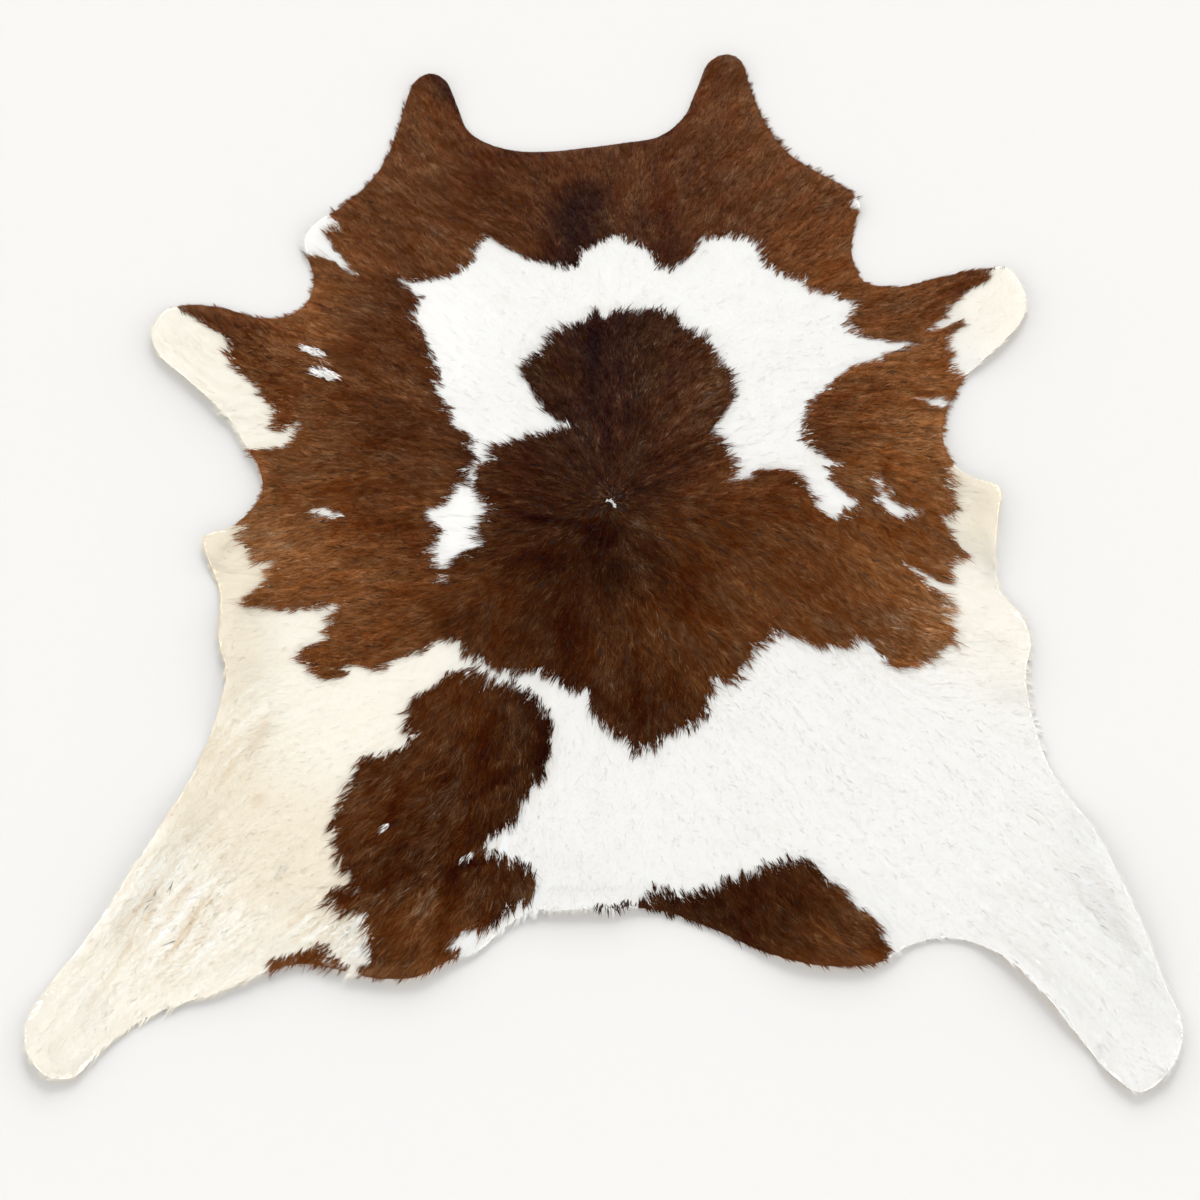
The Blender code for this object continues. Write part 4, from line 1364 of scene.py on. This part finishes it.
def hair_corners():
    """The root, left, right and tip corners of every kite."""
    count = len(root)
    centre = root + way * (MIDDLE * length)[:, None] + side * (MIDDLE_PULL * pull)[:, None]
    tip = root + way * length[:, None] + side * pull[:, None]
    inside = np.clip(read(depth_chart, FINE, centre) / COAT_EDGE, THINNEST, 1.0)
    blade, _, lift, _ = np.array([row[3:] for row in KINDS])[hair_kind].T
    deep = coat_depth(centre, inside, lift)
    raised = OVER_BROWN * inside * ~brown
    centre_z = on_leather(centre) + np.where(brown, BROWN_CLEARANCE, WHITE_CLEARANCE)
    centre_z += deep * dice.uniform(*MIDDLE_HEIGHTS, count) + MARK_LIFT * marked
    centre_z += raised * read(brown_share, FINE, centre)
    tip_z = on_leather(tip) + deep * dice.uniform(*TIP_HEIGHTS, count)
    tip_z += raised * read(brown_share, FINE, tip)
    tip_z -= DROOP * np.clip(-read(depth_chart, FINE, tip), 0, DROOP_REACH)
    tip_z = np.maximum(tip_z, TIP_CLEARANCE)
    shrink = np.minimum(1.0, (length / full_length) ** 0.5)
    half = 0.5 * blade * MM * shrink * np.exp(dice.normal(0, WIDTH_SPREAD, count))
    half *= np.where(brown, 1, PALE_WIDTH)
    half *= 1 - np.where(brown, BROWN_THINNER, WHITE_THINNER) * loose
    roll = dice.normal(0, 1, count)
    roll *= np.where(brown, BROWN_ROLL, WHITE_ROLL + RUFFLE_ROLL * ruffle)
    wide = np.column_stack([side * np.cos(roll)[:, None], np.sin(roll)]) * half[:, None]
    wide[:, 2] = np.maximum(wide[:, 2], -DEEPEST_ROLL * deep)      # no blade dips into the leather
    middle = np.column_stack([centre, centre_z])
    base = np.column_stack([root, on_leather(root) - ROOT_SINK])
    end = np.column_stack([tip, tip_z])
    return np.stack([base, middle + wide, middle - wide, end], axis=1).astype(np.float32)


corners = hair_corners()
print("coat top at", round(float(corners[:, :, 2].max()) / MM, 1), "mm")

# %% [markdown]
# ## Coats as separate pieces
#
# The kites are gathered into a few meshes, brown ones and white ones for each part of the
# hide, so that none of them is too heavy to handle. Blender can make a mesh straight from
# arrays of numbers, which takes a second where adding half a million faces one by one would
# take many minutes. Each hair also gets its own small cell in a texture map called OFBake,
# so that its colours could be painted into a picture later. The cells are laid out in order
# of colour, because neighbours in a picture bleed into each other.

# %% Turn hairs into meshes
# Hair darkens towards its root as painted shade of the hair lying over it: brown hair much, white
# hair a little.
ROOT_SHADE, MIDDLE_SHADE, TIP_SHADE = 0.62, 0.95, 1.2      # brown hair, root to tip
PALE_SHADES = (0.96, 1.0, 1.0)                              # white hair, root to tip
CELL_KITE = np.array([(0.5, 0.06), (0.92, 0.45), (0.08, 0.45), (0.5, 0.94)])
BROWN_UPWARD, WHITE_UPWARD = 0.55, 0.95         # how far normals turn from the blade's own to up
BROWN_HEAPS, WHITE_HEAPS = 1.8 * MM, 0.17 * MM  # how deep the heaps look in the light
RUFFLE_HEAPS, RUFFLE_LEAN = 0.5 * MM, 0.3       # how both change where white hair is ruffled
TIP_LEAN = 0.12          # how far normals lean back at the root and forward at the tip


def soft_normals(quads, is_pale, ruffle):
    """Normals between the blade's own and that of the coat's heaps, so that blades share
    the light as a soft lock does."""
    upward, heaps = (WHITE_UPWARD, WHITE_HEAPS) if is_pale else (BROWN_UPWARD, BROWN_HEAPS)
    at = quads[:, 1, :2]
    if is_pale:
        heaps, upward = heaps + RUFFLE_HEAPS * ruffle, (upward - RUFFLE_LEAN * ruffle)[:, None]
    run = quads[:, 3] - quads[:, 0]
    own = np.cross(quads[:, 1] - quads[:, 2], run)
    own /= np.linalg.norm(own, axis=1, keepdims=True) * -np.sign(own[:, 2:])
    slope = -read(slope_chart, RELIEF_STEP, at) * np.reshape(heaps, (-1, 1))
    heap = np.column_stack([slope, np.ones(len(quads))])
    heap /= np.linalg.norm(heap, axis=1, keepdims=True)
    run /= np.linalg.norm(run, axis=1, keepdims=True)
    base = own * (1 - upward) + heap * upward
    normals = np.stack([base + run * lean for lean in (-TIP_LEAN, 0.0, 0.0, TIP_LEAN)], axis=1)
    return normals / np.linalg.norm(normals, axis=2, keepdims=True)


def cells_by_colour(colour):
    """Each hair's cell: rows of similar brightness, each row ordered by warmth."""
    across = math.ceil(math.sqrt(len(colour)))
    order = np.argsort(colour.sum(axis=1), kind="stable")
    warmth = colour[:, 0] / (colour[:, 2] + 0.01)
    cell = np.empty((len(colour), 2))
    for row in range(across):
        members = order[row * across : (row + 1) * across]
        members = members[np.argsort(warmth[members], kind="stable")]
        cell[members] = np.column_stack([np.arange(len(members)), np.full(len(members), row)])
    return cell, across


def make_coat(name, chosen):
    """A mesh of the chosen hairs, with their colours and their cells."""
    quads = corners[chosen]
    count = len(quads)
    mesh = bpy.data.meshes.new(name)
    mesh.vertices.add(count * 4)
    mesh.vertices.foreach_set("co", quads.ravel())
    first = np.arange(count, dtype=np.int32)[:, None] * 4
    faces = (first + np.array([[0, 2, 1, 1, 2, 3]], np.int32)).ravel()
    mesh.loops.add(len(faces))
    mesh.loops.foreach_set("vertex_index", faces)
    mesh.polygons.add(count * 2)
    mesh.polygons.foreach_set("loop_start", np.arange(count * 2, dtype=np.int32) * 3)
    pale = ~brown[chosen]
    # darker roots: painted shade
    steps = np.where(pale[:, None], PALE_SHADES, (ROOT_SHADE, MIDDLE_SHADE, TIP_SHADE))
    shade = np.ones((count, 4, 4), np.float32)
    shade[:, :, :3] = hair_colour[chosen][:, None, :] * steps[:, [0, 1, 1, 2]][:, :, None]
    shades = mesh.attributes.new("coat", "FLOAT_COLOR", "POINT")
    shades.data.foreach_set("color", np.minimum(shade, 1.0).ravel())
    cell, cells_across = cells_by_colour(hair_colour[chosen])
    spots = (cell[:, None, :] + CELL_KITE) / cells_across
    mesh.uv_layers.new(name="OFBake").data.foreach_set("uv", spots.reshape(-1, 2)[faces].ravel())
    mesh.update()
    mesh.shade_smooth()
    normals = soft_normals(quads, pale[0], ruffle[chosen]).reshape(-1, 3)
    mesh.normals_split_custom_set_from_vertices(normals.tolist())
    piece = bpy.data.objects.new(name, mesh)
    bpy.context.scene.collection.objects.link(piece)
    print(f"{name}: {count} hairs, {count * 2} triangles")
    return piece

# %% [markdown]
# ## The look of the hair
#
# Hair has a soft sheen across it, and its roots are darker, which is painted shade from the
# hair lying over them. The colour comes from each hair's own shade, and two noises work over
# it: a fine one for the streaks within a lock, and a slow one for the clouds of lighter and
# darker coat. The roughness follows the fine noise, so the sheen breaks up instead of lying
# on the coat like varnish.

# %% Finish the hair
def hair_finish(name, roughness, specular, streak_colour):
    """A finish for hair. Its colour is multiplied by the last one in the dark streaks."""
    material, tree, shader = new_material(name)
    coat = coat_shade(tree)
    streak = noise(tree, 650.0, 2.0)
    cloud = noise(tree, 22.0, 3.0)
    share = (streak - 0.5) * 1.6 + (cloud - 0.5) * 1.2 + 0.5
    darker = mixed(tree, 1.0, coat, streak_colour, "MULTIPLY")
    plug(tree, shader, {
        "Base Color": mixed(tree, share, darker, coat),
        "Roughness": roughness + (streak - 0.5) * 0.3,
        "Specular IOR Level": specular,
    })
    return material


brown_finish = hair_finish("brown cow hair", 0.6, 0.015, (0.86, 0.83, 0.8, 1.0))
white_finish = hair_finish("white cow hair", 0.6, 0.15, (0.985, 0.98, 0.97, 1.0))
print("hair finishes ready")

# %% [markdown]
# The coats meet along straight lines across the hide, at the neck, the sides, the back and
# the hind quarters. No seam shows there, because each hair belongs whole to the coat in
# which it has its root. Every coat rides on the rug's one body, and together they stand in
# for the solid hide, which has no hair.

# %% Grow the coats
# Each coat: its name, whether it is brown, and its reach in cm: left, right, back, front.
COATS = (
    ("brown_hair_neck", True, -120, 120, 45, 130),
    ("brown_hair_left_side", True, -120, -20, -38, 45),
    ("brown_hair_back", True, -20, 120, 8, 45),
    ("brown_hair_right_side", True, -20, 120, -38, 8),
    ("brown_hair_hind", True, -120, 120, -130, -38),
    ("white_hair_front", False, -120, 120, -35, 130),
    ("white_hair_left_hind", False, -120, -10, -130, -35),
    ("white_hair_right_hind", False, -10, 120, -130, -35),
)
for name, is_brown, left, right, behind, ahead in COATS:
    (low_x, low_y), (high_x, high_y) = placed((left, behind)), placed((right, ahead))
    within = (root[:, 0] >= low_x) & (root[:, 0] < high_x)
    within &= (root[:, 1] >= low_y) & (root[:, 1] < high_y)
    coat = make_coat(name, within & (brown == is_brown))
    coat.data.materials.append(brown_finish if is_brown else white_finish)
    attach(coat, "root")
    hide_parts("hide")

# %% [markdown]

# %% [markdown]
# ## Floor and light
#
# A plain pale floor and soft light let the coat speak. One large lamp, low and behind,
# rakes along the hair and leaves a soft shadow in front of the lifted edges. The rest comes
# from the world, which is dim overhead and bright near the floor, like white walls around a
# studio. Light that comes from low all around is what darkens the floor just beside a rug.

# %% The studio
FLOOR_SIZE = 60.0
FLOOR_COLOUR = (0.815, 0.809, 0.798, 1.0)
WALL_LIGHT = (1.0, 0.995, 0.985, 1.0)
SKY_LIGHT = 0.41         # the glow of the room overhead
LOW_LIGHT = 14.5         # how much brighter it is at floor level
LOW_POWER = 6            # how quickly that fades with height
# Each lamp: its heading from +X and its height in degrees, how soft it is, and its power.
LAMPS = (("back lamp", 84, 19, 26, 2.35),)


def make_floor():
    """A plain pale floor that isn't part of the rug."""
    mesh = bpy.data.meshes.new("floor")
    h = FLOOR_SIZE / 2
    mesh.from_pydata([(-h, -h, 0), (h, -h, 0), (h, h, 0), (-h, h, 0)], [], [(0, 1, 2, 3)])
    floor = bpy.data.objects.new("floor", mesh)
    bpy.context.scene.collection.objects.link(floor)
    material, tree, shader = new_material("pale floor")
    plug(tree, shader, {"Base Color": FLOOR_COLOUR, "Roughness": 0.9, "Specular IOR Level": 0.0})
    mesh.materials.append(material)


def make_lamps():
    """Sun lamps, each turned towards the middle of the rug."""
    for name, heading, height, softness, power in LAMPS:
        lamp = bpy.data.objects.new(name, bpy.data.lights.new(name, "SUN"))
        lamp.data.angle = math.radians(softness)
        lamp.data.energy = power
        turn, rise = math.radians(heading), math.radians(height)
        towards = Vector((math.cos(rise) * math.cos(turn), math.cos(rise) * math.sin(turn),
                          math.sin(rise)))
        lamp.location = 4 * towards
        lamp.rotation_euler = (-towards).to_track_quat("-Z", "Y").to_euler()
        bpy.context.scene.collection.objects.link(lamp)


def make_world():
    """Light from all around, brightest near the floor."""
    world = bpy.data.worlds.new("studio")
    world.use_nodes = True
    tree = world.node_tree
    place = Socket(tree, add_node(tree, "ShaderNodeTexCoord").outputs["Generated"])
    parts = add_node(tree, "ShaderNodeSeparateXYZ", None, {0: place})
    below = (1 - Socket(tree, parts.outputs["Z"])).math("MINIMUM", 1.0)
    strength = SKY_LIGHT + LOW_LIGHT * below ** LOW_POWER
    plug(tree, tree.nodes["Background"], {"Color": WALL_LIGHT, "Strength": strength})
    bpy.context.scene.world = world


make_floor()
make_lamps()
make_world()
bpy.context.scene.view_settings.view_transform = "Standard"
print("floor, lamp and world in place")
